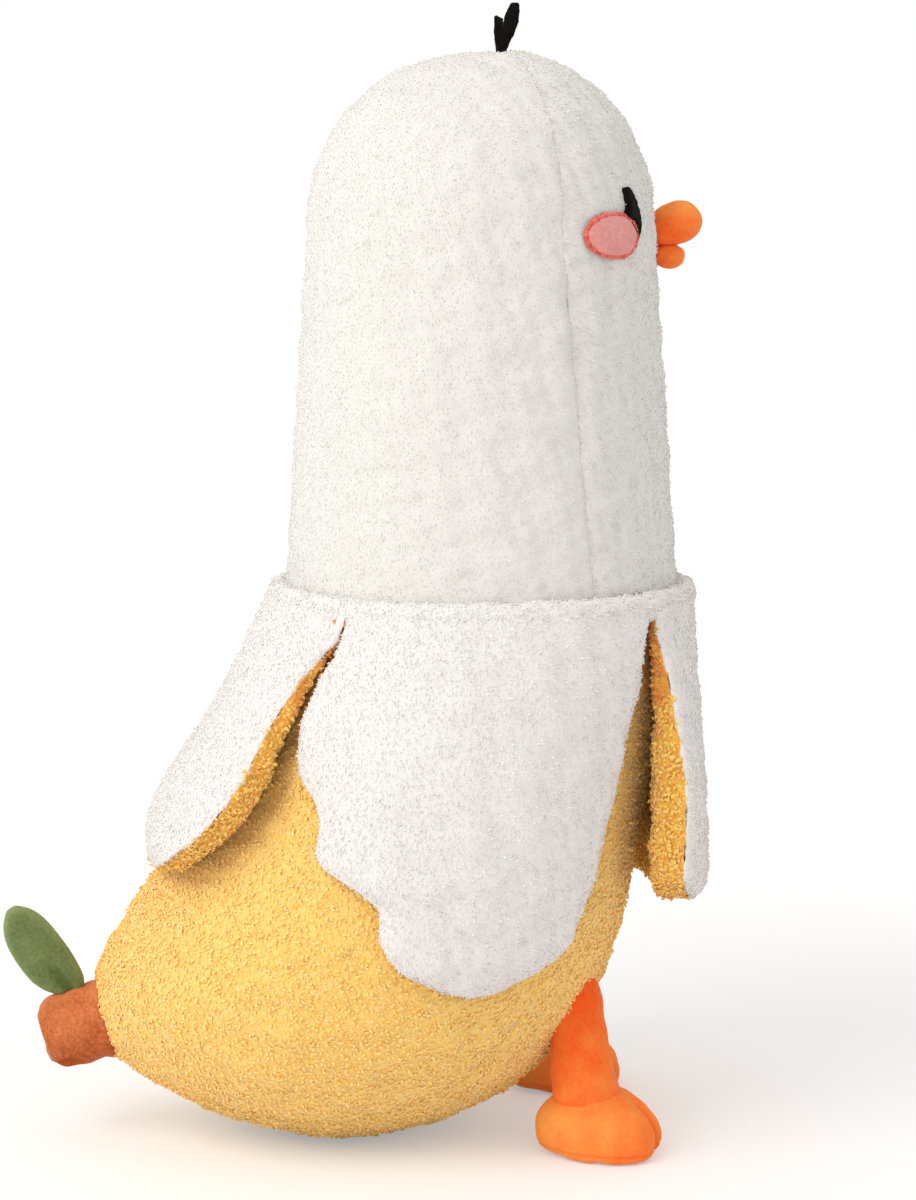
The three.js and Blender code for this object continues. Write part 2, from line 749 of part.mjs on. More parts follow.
// A point of the face, from the middle of a feature: across and up along the head's surface
function facePoint(heightShare, turn, side, across, up, offset) {
  const level = headLevel(heightShare * headHeight + up);
  const swing = across / (crownDepth / 2);
  return headPoint(level, side * (turn * degree + swing), -offset);
}

// The eye's lower rear corner is hidden under the cheek, so it stops at the cheek's stitching
function addEye(name, side) {
  const heights = steps(-1, 1, 8);
  const sheet = (offset) => heights.map((height) => {
    const half = (eyeWidth / 2) * Math.max(Math.sqrt(1 - height ** 2), eyeTipShare);
    return steps(-half, half, 3).map(
      (across) => facePoint(eyeHeightShare, eyeTurn, side, across, (height * eyeHeight) / 2, offset),
    );
  });
  const eye = panel(sheet(faceGap + eyeThickness), sheet(faceGap));
  const room = cheekDisc(
    side,
    cheekWidth / 2 + faceGap,
    cheekHeight / 2 + faceGap,
    -eyeThickness,
    cheekHeight,
  );
  add(`${name}_eye`, cut(eye, room), finish.blackFelt);
}

function cheekPoint(side, turn, halfWidth, halfHeight, offset) {
  const across = halfWidth * Math.cos(turn);
  const up = halfHeight * Math.sin(turn);
  return facePoint(cheekHeightShare, cheekTurn, side, across, up, offset);
}

function cheekDisc(side, halfWidth, halfHeight, inner, outer) {
  const ring = (scale, offset) => turns(18).map(
    (turn) => cheekPoint(side, turn, scale * halfWidth, scale * halfHeight, offset),
  );
  const rings = [
    ...steps(0.5, 1, 1).map((scale) => ring(scale, inner)),
    ...steps(1, 0.5, 1).map((scale) => ring(scale, outer)),
  ];
  const pole = (offset) => cheekPoint(side, 0, 0, 0, offset);
  return loft(rings, pole(inner), pole(outer));
}

function addCheek(name, side) {
  const inset = stitchWidth + faceGap;
  const patch = cheekDisc(
    side,
    cheekWidth / 2 - inset,
    cheekHeight / 2 - inset,
    faceGap,
    faceGap + cheekThickness,
  );
  const corners = [[0, 0], [1, 0], [1, 1], [0, 1]];
  const stitch = band(turns(22).map((turn) => corners.map(([out, up]) => cheekPoint(
    side,
    turn,
    cheekWidth / 2 - stitchWidth + out * stitchWidth,
    cheekHeight / 2 - stitchWidth + out * stitchWidth,
    faceGap + up * cheekThickness,
  ))));
  add(`${name}_cheek_patch`, patch, finish.pinkPlush);
  add(`${name}_cheek_stitching`, stitch, finish.redThread);
}

addHead();
addCollar();
addBody();
addPetals();
addStem();
addLeaf();
addTuft();
addBeak();
sides.forEach(([name, side]) => {
  addLeg(name, side);
  addFoot(name, side);
  addEye(name, side);
  addCheek(name, side);
});

export default duck;
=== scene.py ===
"""A plush duck dressed as a half-peeled banana: its fleece, velvet and felt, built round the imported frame.

Lengths are metres. The duck faces -Y, its right side is -X and +Z is up, as in the frame.
"""

import logging
import math
from dataclasses import dataclass
from enum import Enum
from typing import Callable, Iterable, Sequence

import bmesh
import bpy
import numpy as np
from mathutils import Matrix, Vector


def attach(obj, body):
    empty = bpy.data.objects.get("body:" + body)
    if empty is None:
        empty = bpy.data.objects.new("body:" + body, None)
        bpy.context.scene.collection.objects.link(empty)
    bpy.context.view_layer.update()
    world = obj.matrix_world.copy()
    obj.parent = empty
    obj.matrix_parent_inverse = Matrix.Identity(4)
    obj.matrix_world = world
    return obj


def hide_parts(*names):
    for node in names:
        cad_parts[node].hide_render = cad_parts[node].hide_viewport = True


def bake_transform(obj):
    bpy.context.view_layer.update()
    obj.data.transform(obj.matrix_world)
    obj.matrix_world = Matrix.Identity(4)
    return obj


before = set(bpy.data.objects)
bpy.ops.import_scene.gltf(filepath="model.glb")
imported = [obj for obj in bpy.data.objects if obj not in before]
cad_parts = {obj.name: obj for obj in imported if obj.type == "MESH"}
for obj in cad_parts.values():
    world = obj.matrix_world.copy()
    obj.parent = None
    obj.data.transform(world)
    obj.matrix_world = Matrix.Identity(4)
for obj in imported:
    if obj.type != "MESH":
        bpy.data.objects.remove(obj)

log = logging.getLogger("plush_duck")

MM = 0.001
DEG = math.pi / 180
HALF_TURN = math.pi
FULL_TURN = 2 * math.pi
FLOOR_GAP = 0.3 * MM
WAVES = 9

Colour = tuple[float, float, float]
Rows = tuple[tuple[float, ...], ...]
Socket = bpy.types.NodeSocket


class Side(Enum):
    """The duck's own sides; the value is the sign of a turn towards that side."""

    RIGHT = 1
    LEFT = -1

    @property
    def label(self) -> str:
        """The side's name as the frame's nodes spell it."""
        return self.name.lower()


# ---- Curves and surfaces ----


def catmull(points: Sequence, share: np.ndarray) -> np.ndarray:
    """Points on a Catmull-Rom curve through evenly spaced table rows.

    Args:
        points: The rows of the table.
        share: Places along the table, 0 at its first row and 1 at its last.

    Returns:
        One row of numbers for each place.
    """
    table = np.asarray(points, float).reshape(len(points), -1)
    last = len(table) - 1
    padded = np.vstack([2 * table[0] - table[1], table, 2 * table[last] - table[last - 1]])
    place = np.clip(np.asarray(share, float), 0, 1) * last
    index = np.minimum(place.astype(int), last - 1)
    w = (place - index)[..., None]
    before, here, there, after = (padded[index + i] for i in range(4))
    start, end = (there - before) / 2, (after - here) / 2
    cubic = (2 * here - 2 * there + start + end) * w**3
    square = (-3 * here + 3 * there - 2 * start - end) * w**2
    return cubic + square + start * w + here


def ripples(points: np.ndarray, wavelength: float, seed: int) -> np.ndarray:
    """Smooth noise of about unit size: a sum of plane waves in seeded directions.

    Args:
        points: Places, with x, y and z last.
        wavelength: Mean length of a wave.
        seed: Seed of the directions and phases.

    Returns:
        One number for each place.
    """
    rng = np.random.default_rng(seed)
    axes = rng.normal(size=(WAVES, 3))
    axes /= np.linalg.norm(axes, axis=1)[:, None]
    rates = FULL_TURN / (wavelength * rng.uniform(0.7, 1.4, WAVES))
    phases = rng.uniform(0, FULL_TURN, WAVES)
    angles = points @ (axes * rates[:, None]).T + phases
    return np.sin(angles).sum(-1) / math.sqrt(WAVES / 2)


@dataclass(frozen=True)
class TrunkShape:
    """The outer surface of the banana body and of the head above it.

    A station runs from 0 at the neck to 1 at the stem, a level from 0 at the neck over 1 at the
    foot of the dome to 2 at the crown, and a turn from the belly or face towards the right side.
    """

    body_height: float = 0.244
    body_length: float = 0.261
    body_width: float = 0.186
    head_height: float = 0.236
    crown_depth: float = 0.154
    crown_width: float = 0.149
    dome_height: float = 0.080
    dome_fullness: float = 1.1
    crown_lean: float = 0.009
    flat_depth: float = 0.0005
    belly_line: Rows = (
        (-0.597, 1), (-0.572, 0.806), (-0.539, 0.6), (-0.505, 0.39), (-0.435, 0.221),
        (-0.295, 0.076), (-0.059, -0.001), (0.178, 0.04), (0.365, 0.14),
    )
    back_line: Rows = (
        (0.076, 1), (0.095, 0.868), (0.151, 0.699), (0.245, 0.559), (0.316, 0.466),
        (0.348, 0.415), (0.376, 0.367), (0.392, 0.335), (0.404, 0.301),
    )
    half_widths: tuple[float, ...] = (0.457, 0.468, 0.484, 0.5, 0.5, 0.468, 0.376, 0.242, 0.109)

    def _lines(self, station: np.ndarray) -> tuple[np.ndarray, np.ndarray]:
        """The belly line and the back line at some stations, as y and z."""
        scale = np.array([self.body_length, self.body_height])
        return catmull(self.belly_line, station) * scale, catmull(self.back_line, station) * scale

    def section(self, station: np.ndarray) -> tuple[np.ndarray, np.ndarray, np.ndarray, np.ndarray]:
        """The body's oval sections.

        Args:
            station: Places between the neck and the stem.

        Returns:
            The centres and forward directions as y and z, the half depths and the half widths.
        """
        station = np.asarray(station, float)
        belly, back = self._lines(station)
        lowest = self._lines(np.linspace(0, 1, 15))[0][:, 1].min()
        centre = (belly + back) / 2
        forward = belly - centre
        half_depth = np.linalg.norm(forward, axis=-1)
        forward = forward / half_depth[..., None]
        centre = centre - np.array([0, lowest + self.flat_depth])
        half_width = catmull(self.half_widths, station)[..., 0] * self.body_width
        return centre, forward, half_depth, half_width

    def body(self, station: np.ndarray, turn: np.ndarray, depth: np.ndarray | float) -> np.ndarray:
        """Points on the body, or a depth inside it."""
        station, turn, depth = np.broadcast_arrays(station, turn, depth)
        centre, forward, half_depth, half_width = self.section(station)
        reach = ((half_depth - depth) * np.cos(turn))[..., None]
        yz = centre + forward * reach
        return np.concatenate([-((half_width - depth) * np.sin(turn))[..., None], yz], -1)

    def head(self, level: np.ndarray, turn: np.ndarray, depth: np.ndarray | float) -> np.ndarray:
        """Points on the head, or a depth inside it."""
        level, turn, depth = np.broadcast_arrays(level, turn, depth)
        centre, _, neck_depth, neck_width = self.section(0.0)
        rise = np.minimum(level, 1)
        dome = (level - rise) * HALF_TURN / 2
        half_depth = neck_depth + (self.crown_depth / 2 - neck_depth) * rise - depth
        half_width = neck_width + (self.crown_width / 2 - neck_width) * rise - depth
        shrink = np.clip(np.cos(dome), 0, 1) ** (1 / self.dome_fullness)
        up = np.clip(np.sin(dome), 0, 1) ** (1 / self.dome_fullness)
        lean = self.crown_lean * (1 - shrink) ** 2
        foot = self.head_height - self.dome_height
        return np.stack(
            [
                -half_width * shrink * np.sin(turn),
                centre[0] - lean - half_depth * shrink * np.cos(turn),
                centre[1] + foot * rise + (self.dome_height - depth) * up,
            ],
            -1,
        )

    def level(self, height: np.ndarray | float) -> np.ndarray:
        """The level of a height above the neck."""
        height = np.asarray(height, float)
        foot = self.head_height - self.dome_height
        share = np.clip((height - foot) / self.dome_height, 0, 1) ** self.dome_fullness
        return np.where(height < foot, height / foot, 1 + np.arcsin(share) / (HALF_TURN / 2))

    @property
    def neck_height(self) -> float:
        """The height of the neck above the floor."""
        return float(self.section(0.0)[0][1])


TRUNK = TrunkShape()


# ---- Meshes ----


def new_mesh(name: str, points: np.ndarray, faces: Iterable[Sequence[int]]) -> bpy.types.Object:
    """A smooth-shaded mesh object at the origin, with its faces turned outwards.

    Args:
        name: The object's name.
        points: The places of the vertices.
        faces: The vertex numbers of each face.

    Returns:
        The linked object.
    """
    mesh = bpy.data.meshes.new(name)
    mesh.from_pydata([tuple(p) for p in points], [], [tuple(f) for f in faces])
    work = bmesh.new()
    work.from_mesh(mesh)
    bmesh.ops.remove_doubles(work, verts=work.verts, dist=0.000001)
    bmesh.ops.recalc_face_normals(work, faces=work.faces)
    work.to_mesh(mesh)
    work.free()
    mesh.polygons.foreach_set("use_smooth", [True] * len(mesh.polygons))
    piece = bpy.data.objects.new(name, mesh)
    bpy.context.scene.collection.objects.link(piece)
    return piece


def grid_faces(rows: int, columns: int, wrap: bool = False, closed: bool = False) -> list[list[int]]:
    """Quads over a grid of vertices, which may wrap round its columns and close round its rows."""
    faces = []
    for r in range(rows if closed else rows - 1):
        for c in range(columns if wrap else columns - 1):
            d = (c + 1) % columns
            a, b = r * columns, (r + 1) % rows * columns
            faces.append([a + c, a + d, b + d, b + c])
    return faces


def circle(count: int) -> np.ndarray:
    """The turns of evenly spaced places round a ring."""
    return np.linspace(0, FULL_TURN, count + 1)[:-1]


def ring(
    centre: np.ndarray, first: np.ndarray, second: np.ndarray, x: np.ndarray, y: np.ndarray
) -> np.ndarray:
    """Points round a centre, given by their reach along two directions."""
    return centre + first * x[:, None] + second * y[:, None]


def shell_mesh(name: str, outer: np.ndarray, inner: np.ndarray) -> bpy.types.Object:
    """A closed shell between two grids of points; the outer grid's vertices come first."""
    rows, columns = outer.shape[:2]
    count = rows * columns
    faces = grid_faces(rows, columns)
    faces += [[count + i for i in reversed(face)] for face in grid_faces(rows, columns)]
    border = list(range(columns))
    border += [r * columns + columns - 1 for r in range(1, rows)]
    border += [(rows - 1) * columns + c for c in range(columns - 2, -1, -1)]
    border += [r * columns for r in range(rows - 2, 0, -1)]
    faces += [[a, b, count + b, count + a] for a, b in zip(border, border[1:] + border[:1])]
    points = np.concatenate([outer.reshape(-1, 3), inner.reshape(-1, 3)])
    return new_mesh(name, points, faces)


def loft_mesh(name: str, rings: Sequence[np.ndarray]) -> bpy.types.Object:
    """A closed tube through rings of points, capped at both ends."""
    grid = np.array(rings)
    rows, columns = grid.shape[:2]
    faces = grid_faces(rows, columns, wrap=True)
    faces.append(list(range(columns)))
    faces.append([(rows - 1) * columns + i for i in range(columns)])
    return new_mesh(name, grid.reshape(-1, 3), faces)


def coordinates(piece: bpy.types.Object) -> np.ndarray:
    """The places of a piece's vertices."""
    flat = np.zeros(len(piece.data.vertices) * 3, np.float32)
    piece.data.vertices.foreach_get("co", flat)
    return flat.reshape(-1, 3).astype(float)


def move_vertices(piece: bpy.types.Object, points: np.ndarray) -> None:
    """Writes new places into a piece's vertices."""
    piece.data.vertices.foreach_set("co", np.asarray(points, np.float32).ravel())
    piece.data.update()


def normals(piece: bpy.types.Object) -> np.ndarray:
    """The normals of a piece's vertices."""
    return np.array([n.vector for n in piece.data.vertex_normals], float).reshape(-1, 3)


def ruffle(piece: bpy.types.Object, amount: float, wavelength: float, seed: int) -> None:
    """Pushes a surface in and out by smooth noise."""
    points = coordinates(piece)
    shift = ripples(points, wavelength, seed) * amount
    move_vertices(piece, points + normals(piece) * shift[:, None])


def store(piece: bpy.types.Object, name: str, values: np.ndarray) -> None:
    """Keeps one number for each vertex under an attribute's name."""
    layer = piece.data.attributes.new(name, "FLOAT", "POINT")
    layer.data.foreach_set("value", np.asarray(values, np.float32))


def grounded(piece: bpy.types.Object) -> None:
    """Flattens what would reach below the floor."""
    points = coordinates(piece)
    points[:, 2] = np.maximum(points[:, 2], FLOOR_GAP)
    move_vertices(piece, points)


def settle(piece: bpy.types.Object) -> bpy.types.Object:
    """Turns a piece's live modifiers into a plain mesh."""
    graph = bpy.context.evaluated_depsgraph_get()
    mesh = bpy.data.meshes.new_from_object(piece.evaluated_get(graph), depsgraph=graph)
    piece.modifiers.clear()
    old = piece.data
    piece.data = mesh
    mesh.name = piece.name
    bpy.data.meshes.remove(old)
    return piece


@dataclass(frozen=True)
class Stuffing:
    """How a sewn velvet piece swells when it is filled, and the mesh that it is worked out on."""

    voxel: float
    most: float
    pressure: float = 4.0
    frames: int = 20

    def fill(self, piece: bpy.types.Object, sewn: Callable[[np.ndarray], np.ndarray]) -> None:
        """Swells a piece between its seams and smooths it.

        Args:
            piece: The piece, a little smaller than it ends.
            sewn: Says how firmly its points are held, from 0 to 1.
        """
        remesh = piece.modifiers.new("cloth_grid", "REMESH")
        remesh.mode, remesh.voxel_size, remesh.use_smooth_shade = "VOXEL", self.voxel, True
        settle(piece)
        self._inflate(piece, sewn(coordinates(piece)))
        smooth = piece.modifiers.new("smooth", "SUBSURF")
        smooth.levels = smooth.render_levels = 1
        settle(piece)

    def _inflate(self, piece: bpy.types.Object, held: np.ndarray) -> None:
        """Runs the cloth under pressure and keeps each point's capped move."""
        group = piece.vertex_groups.new(name="sewn")
        for index, weight in enumerate(held):
            group.add([index], float(weight), "REPLACE")
        cloth = piece.modifiers.new("filling", "CLOTH")
        cloth.settings.use_pressure = True
        cloth.settings.uniform_pressure_force = self.pressure
        cloth.settings.vertex_group_mass = "sewn"
        cloth.settings.effector_weights.gravity = 0
        start = coordinates(piece)
        for number in range(1, self.frames + 1):
            bpy.context.scene.frame_set(number)
        graph = bpy.context.evaluated_depsgraph_get()
        swollen = piece.evaluated_get(graph).to_mesh()
        flat = np.zeros(len(start) * 3, np.float32)
        swollen.vertices.foreach_get("co", flat)
        piece.modifiers.clear()
        piece.vertex_groups.clear()
        bpy.context.scene.frame_set(1)
        move = flat.reshape(-1, 3) - start
        length = np.linalg.norm(move, axis=1, keepdims=True)
        move_vertices(piece, start + move * np.minimum(1, self.most / np.maximum(length, 1e-9)))


# ---- Materials ----


class Term:
    """A shader socket that takes part in Python sums and products."""

    def __init__(self, graph: "Graph", socket: bpy.types.NodeSocket) -> None:
        """Wraps an output socket of a graph's node."""
        self.graph = graph
        self.socket = socket

    def _math(self, operation: str, first: "Term | float", second: "Term | float") -> "Term":
        """Adds a Math node for two values."""
        node = self.graph.node("ShaderNodeMath", {"operation": operation}, {0: first, 1: second})
        return Term(self.graph, node.outputs[0])

    def __add__(self, other: "Term | float") -> "Term":
        """Sum."""
        return self._math("ADD", self, other)

    def __sub__(self, other: float) -> "Term":
        """Difference."""
        return self._math("SUBTRACT", self, other)

    def __mul__(self, other: "Term | float") -> "Term":
        """Product."""
        return self._math("MULTIPLY", self, other)

    __radd__ = __add__

    def clamped(self) -> "Term":
        """The value kept between 0 and 1."""
        node = self.graph.node("ShaderNodeClamp", {}, {0: self})
        return Term(self.graph, node.outputs[0])

    def ramp(self, low: float, high: float) -> "Term":
        """0 below the low value, 1 above the high one, and smooth between them."""
        settings = {"interpolation_type": "SMOOTHSTEP"}
        node = self.graph.node("ShaderNodeMapRange", settings, {0: self, 1: low, 2: high})
        return Term(self.graph, node.outputs[0])


class Graph:
    """Adds nodes to a tree, each from its type, its settings and the values of its sockets."""

    def __init__(self, tree: bpy.types.NodeTree) -> None:
        """Starts on a tree."""
        self.tree = tree

    def node(self, kind: str, settings: dict | None = None, sockets: dict | None = None) -> bpy.types.Node:
        """Adds a node.

        Args:
            kind: The node's type.
            settings: Its properties, which are set first.
            sockets: A value, a Term or an output socket for each input, by name or number.

        Returns:
            The node.
        """
        made = self.tree.nodes.new(kind)
        for key, value in (settings or {}).items():
            setattr(made, key, value)
        for key, value in (sockets or {}).items():
            if isinstance(value, Term):
                value = value.socket
            if isinstance(value, bpy.types.NodeSocket):
                self.tree.links.new(value, made.inputs[key])
            else:
                made.inputs[key].default_value = value
        return made

    def link(self, output: bpy.types.NodeSocket, target: bpy.types.NodeSocket) -> None:
        """Joins two sockets."""
        self.tree.links.new(output, target)


class Dye(Graph):
    """A material's graph, with the patterns that the duck's cloths share."""

    def __init__(self, name: str) -> None:
        """Starts an empty material."""
        self.material = bpy.data.materials.new(name)
        self.material.use_nodes = True
        super().__init__(self.material.node_tree)
        self.tree.nodes.clear()
        self.place = self.node("ShaderNodeTexCoord").outputs["Object"]

    def noise(self, wavelength: float, detail: float = 2.0) -> Term:
        """Noise between 0 and 1 whose blobs are about a wavelength apart."""
        sockets = {"Vector": self.place, "Scale": 1 / wavelength, "Detail": detail}
        return Term(self, self.node("ShaderNodeTexNoise", {}, sockets).outputs[0])

    def attribute(self, name: str) -> Term:
        """A number kept on the mesh."""
        node = self.node("ShaderNodeAttribute", {"attribute_name": name})
        return Term(self, node.outputs["Fac"])

    def mix(self, factor: Term | float, first: "Colour | Term", second: "Colour | Term") -> Term:
        """A colour between two colours."""
        first, second = ((*c, 1.0) if isinstance(c, tuple) else c for c in (first, second))
        sockets = {0: factor, 6: first, 7: second}
        node = self.node("ShaderNodeMix", {"data_type": "RGBA"}, sockets)
        return Term(self, node.outputs[2])

    def scaled(self, colour: Term, factor: Term) -> Term:
        """A colour made darker or lighter."""
        node = self.node("ShaderNodeVectorMath", {"operation": "SCALE"}, {0: colour, "Scale": factor})
        return Term(self, node.outputs[0])

    def bump(self, height: Term, distance: float) -> Term:
        """A normal from a height between 0 and 1."""
        node = self.node("ShaderNodeBump", {}, {"Height": height, "Distance": distance})
        return Term(self, node.outputs[0])

    def finish(self, colour: Term, normal: Term, **fixed: float | Colour) -> bpy.types.Material:
        """Ends the material in a Principled shader.

        Args:
            colour: The base colour.
            normal: The bumped normal.
            **fixed: Sockets that are the same all over, with spaces as underscores.

        Returns:
            The material.
        """
        sockets: dict = {"Base Color": colour, "Normal": normal}
        for key, value in fixed.items():
            sockets[key.replace("_", " ")] = (*value, 1.0) if isinstance(value, tuple) else value
        shader = self.node("ShaderNodeBsdfPrincipled", {}, sockets)
        self.node("ShaderNodeOutputMaterial", {}, {0: shader.outputs[0]})
        return self.material


@dataclass(frozen=True)
class Fleece:
    """Looped fleece: painted shade at its curls' roots and on the cloth between them, lighter at their tips,
    painted shade in seams and near the neck, and a little uneven.
    """

    name: str
    tip: Colour
    # The root colour is painted shade at the curls' roots and on the cloth between them.
    root: Colour
    # The seam colour is painted shade in the seam grooves.
    seam: Colour
    # Painted shade near the neck, under the collar and in the slits between the petals.
    deep: Colour | None = None

    def material(self) -> bpy.types.Material:
        """The fleece's material."""
        dye = Dye(self.name)
        # The attribute pile runs from the root colour, painted shade, to the tip colour; the noise varies it
        # at random.
        curl = (dye.attribute("pile") * 1.1 + (dye.noise(0.0024) - 0.5) * 1.0).clamped()
        tip = self.tip
        # The attribute depth blends in painted shade near the neck.
        if self.deep is not None:
            tip = dye.mix(dye.attribute("depth"), self.tip, self.deep)
        # This attribute blends in the seam colour, painted shade in the seam grooves.
        colour = dye.mix(dye.attribute("crease") * 0.8, dye.mix(curl, self.root, tip), self.seam)
        tone = 1 + (dye.attribute("tone") - 0.5) * 0.1 + (dye.noise(0.03) - 0.5) * 0.06
        normal = dye.bump(dye.noise(0.0009, 3.0), 0.0001)
        return dye.finish(
            dye.scaled(colour, tone), normal,
            Roughness=0.95, Sheen_Weight=0.45, Sheen_Roughness=0.6, Specular_IOR_Level=0.1,
        )


@dataclass(frozen=True)
class Velvet:
    """Short-napped velvet: lighter where light is painted on and in random patches, darker where shade is
    painted in, with a fine grain.
    """

    name: str
    # The first colour is the velvet where shade is painted in, the second where light is painted on.
    colour: Colour
    brushed: Colour
    sheen: Colour
    mottle: float = 0.5

    def material(self) -> bpy.types.Material:
        """The velvet's material; its attribute says where light is painted on it and where shade is painted
        in.
        """
        dye = Dye(self.name)
        patches = (dye.noise(0.011, 3.0) - 0.5) * 0.9 + (dye.noise(0.0016, 2.0) - 0.5) * self.mottle
        # Painted light and shade from the attribute, plus random patches, pick between the shaded and the lit
        # colour.
        brushed = (dye.attribute("nap") + patches).clamped()
        grain = 1 + (dye.noise(0.0006, 2.0) - 0.5) * 0.16
        normal = dye.bump(dye.noise(0.0008, 3.0) * 0.7 + dye.noise(0.004) * 0.6, 0.0002)
        return dye.finish(
            dye.scaled(dye.mix(brushed, self.colour, self.brushed), grain), normal,
            Roughness=0.85, Sheen_Weight=0.5, Sheen_Roughness=0.35, Sheen_Tint=self.sheen,
            Specular_IOR_Level=0.1,
        )


@dataclass(frozen=True)
class Felt:
    """Pressed felt: matted fibres without a direction."""

    name: str
    colour: Colour
    fibre: Colour

    def material(self) -> bpy.types.Material:
        """The felt's material."""
        dye = Dye(self.name)
        mat = (dye.noise(0.0012, 4.0) * 0.7 + dye.noise(0.006) * 0.3).ramp(0.35, 0.75)
        normal = dye.bump(dye.noise(0.0007, 4.0), 0.0004)
        return dye.finish(
            dye.mix(mat, self.colour, self.fibre), normal,
            Roughness=0.95, Sheen_Weight=0.05, Specular_IOR_Level=0.08,
        )


@dataclass(frozen=True)
class Thread:
    """Satin stitching thread, a little glossy and shaded from stitch to stitch."""

    name: str
    colour: Colour
    shade: Colour

    def material(self) -> bpy.types.Material:
        """The thread's material."""
        dye = Dye(self.name)
        stitch = (dye.noise(0.0018, 1.0) + (dye.attribute("tone") - 0.5) * 0.6).ramp(0.3, 0.7)
        normal = dye.bump(dye.noise(0.0005, 2.0), 0.0002)
        return dye.finish(dye.mix(stitch, self.shade, self.colour), normal, Roughness=0.45, Sheen_Weight=0.2)


def linear(red: int, green: int, blue: int) -> Colour:
    """The linear colour of 8-bit screen values."""
    shares = (value / 255 for value in (red, green, blue))
    return tuple(s / 12.92 if s <= 0.04045 else ((s + 0.055) / 1.055) ** 2.4 for s in shares)


def wardrobe() -> dict[str, bpy.types.Material]:
    """The duck's finishes, each made once and kept under the record's slot that it stands for."""
    finishes = (
        # Each fleece: its tip colour, its root colour, painted shade at the curls' roots and between them,
        # and its seam colour, painted shade in the seam grooves.
        Fleece("white_fleece", linear(230, 228, 223), linear(228, 225, 219), linear(216, 212, 206)),
        Fleece("peel_white_fleece", linear(239, 235, 232), linear(234, 229, 226), linear(213, 204, 198)),
        # For the yellow fleece and lining a fourth colour follows: painted shade near the neck.
        Fleece(
            "yellow_fleece", linear(255, 233, 158), linear(255, 197, 76), linear(215, 140, 50),
            linear(246, 178, 104),
        ),
        Fleece(
            "yellow_lining", linear(255, 226, 122), linear(243, 172, 56), linear(180, 110, 30),
            linear(232, 134, 72),
        ),
        # Each velvet: its colour in painted shade, its colour where light is painted on, and its sheen tint.
        Velvet("orange_velvet", linear(255, 98, 36), linear(255, 166, 82), linear(255, 200, 140)),
        Velvet("stem_velvet", linear(172, 82, 40), linear(222, 134, 84), linear(235, 190, 160), 1.4),
        Velvet("leaf_velvet", linear(88, 104, 58), linear(134, 148, 98), linear(190, 200, 165), 0.9),
        Felt("black_felt", linear(12, 9, 9), linear(26, 21, 20)),
        Felt("pink_plush", linear(226, 150, 144), linear(240, 174, 168)),
        Thread("red_thread", linear(240, 112, 88), linear(214, 70, 50)),
    )
    return {finish.name: finish.material() for finish in finishes}


# ---- Pile and stitches ----


@dataclass(frozen=True)
class Curl:
    """One curl of the pile: a thin worm of unit length that bends over."""

    bend: float
    thickness: float
    twist: float
    sides: int = 3
    girth: Rows = ((0.0, 0.75), (0.55, 1.0))

    def piece(self, name: str) -> bpy.types.Object:
        """Builds the curl, with a number along it from 0 at its root to 1 at its tip."""
        points, along = [], []
        for share, girth in self.girth:
            centre, radius = self._centre(share), self.thickness * girth / 2
            for side in range(self.sides):
                angle = FULL_TURN * side / self.sides + self.twist * share
                points.append(centre + radius * np.array([math.cos(angle), math.sin(angle), 0]))
                along.append(share)
        points.append(self._centre(1.0))
        along.append(1.0)
        faces = grid_faces(len(self.girth), self.sides, wrap=True)
        top = (len(self.girth) - 1) * self.sides
        faces += [[top + i, top + (i + 1) % self.sides, len(points) - 1] for i in range(self.sides)]
        return template(name, np.array(points), faces, np.array(along))

    def _centre(self, share: float) -> np.ndarray:
        """The curl's centreline: an arc that leans over by its bend."""
        angle, radius = self.bend * share, 1 / self.bend
        return np.array([radius * (1 - math.cos(angle)), 0, radius * math.sin(angle)])


def template(name: str, points: np.ndarray, faces: list, along: np.ndarray) -> bpy.types.Object:
    """A small shape that a Geometry Nodes tree repeats, with its length kept as the attribute pile."""
    mesh = bpy.data.meshes.new(name)
    mesh.from_pydata([tuple(p) for p in points], [], faces)
    piece = bpy.data.objects.new(name, mesh)
    # The fleece paints shade at a curl's root by this value.
    store(piece, "pile", along)
    bpy.context.scene.collection.objects.link(piece)
    return piece


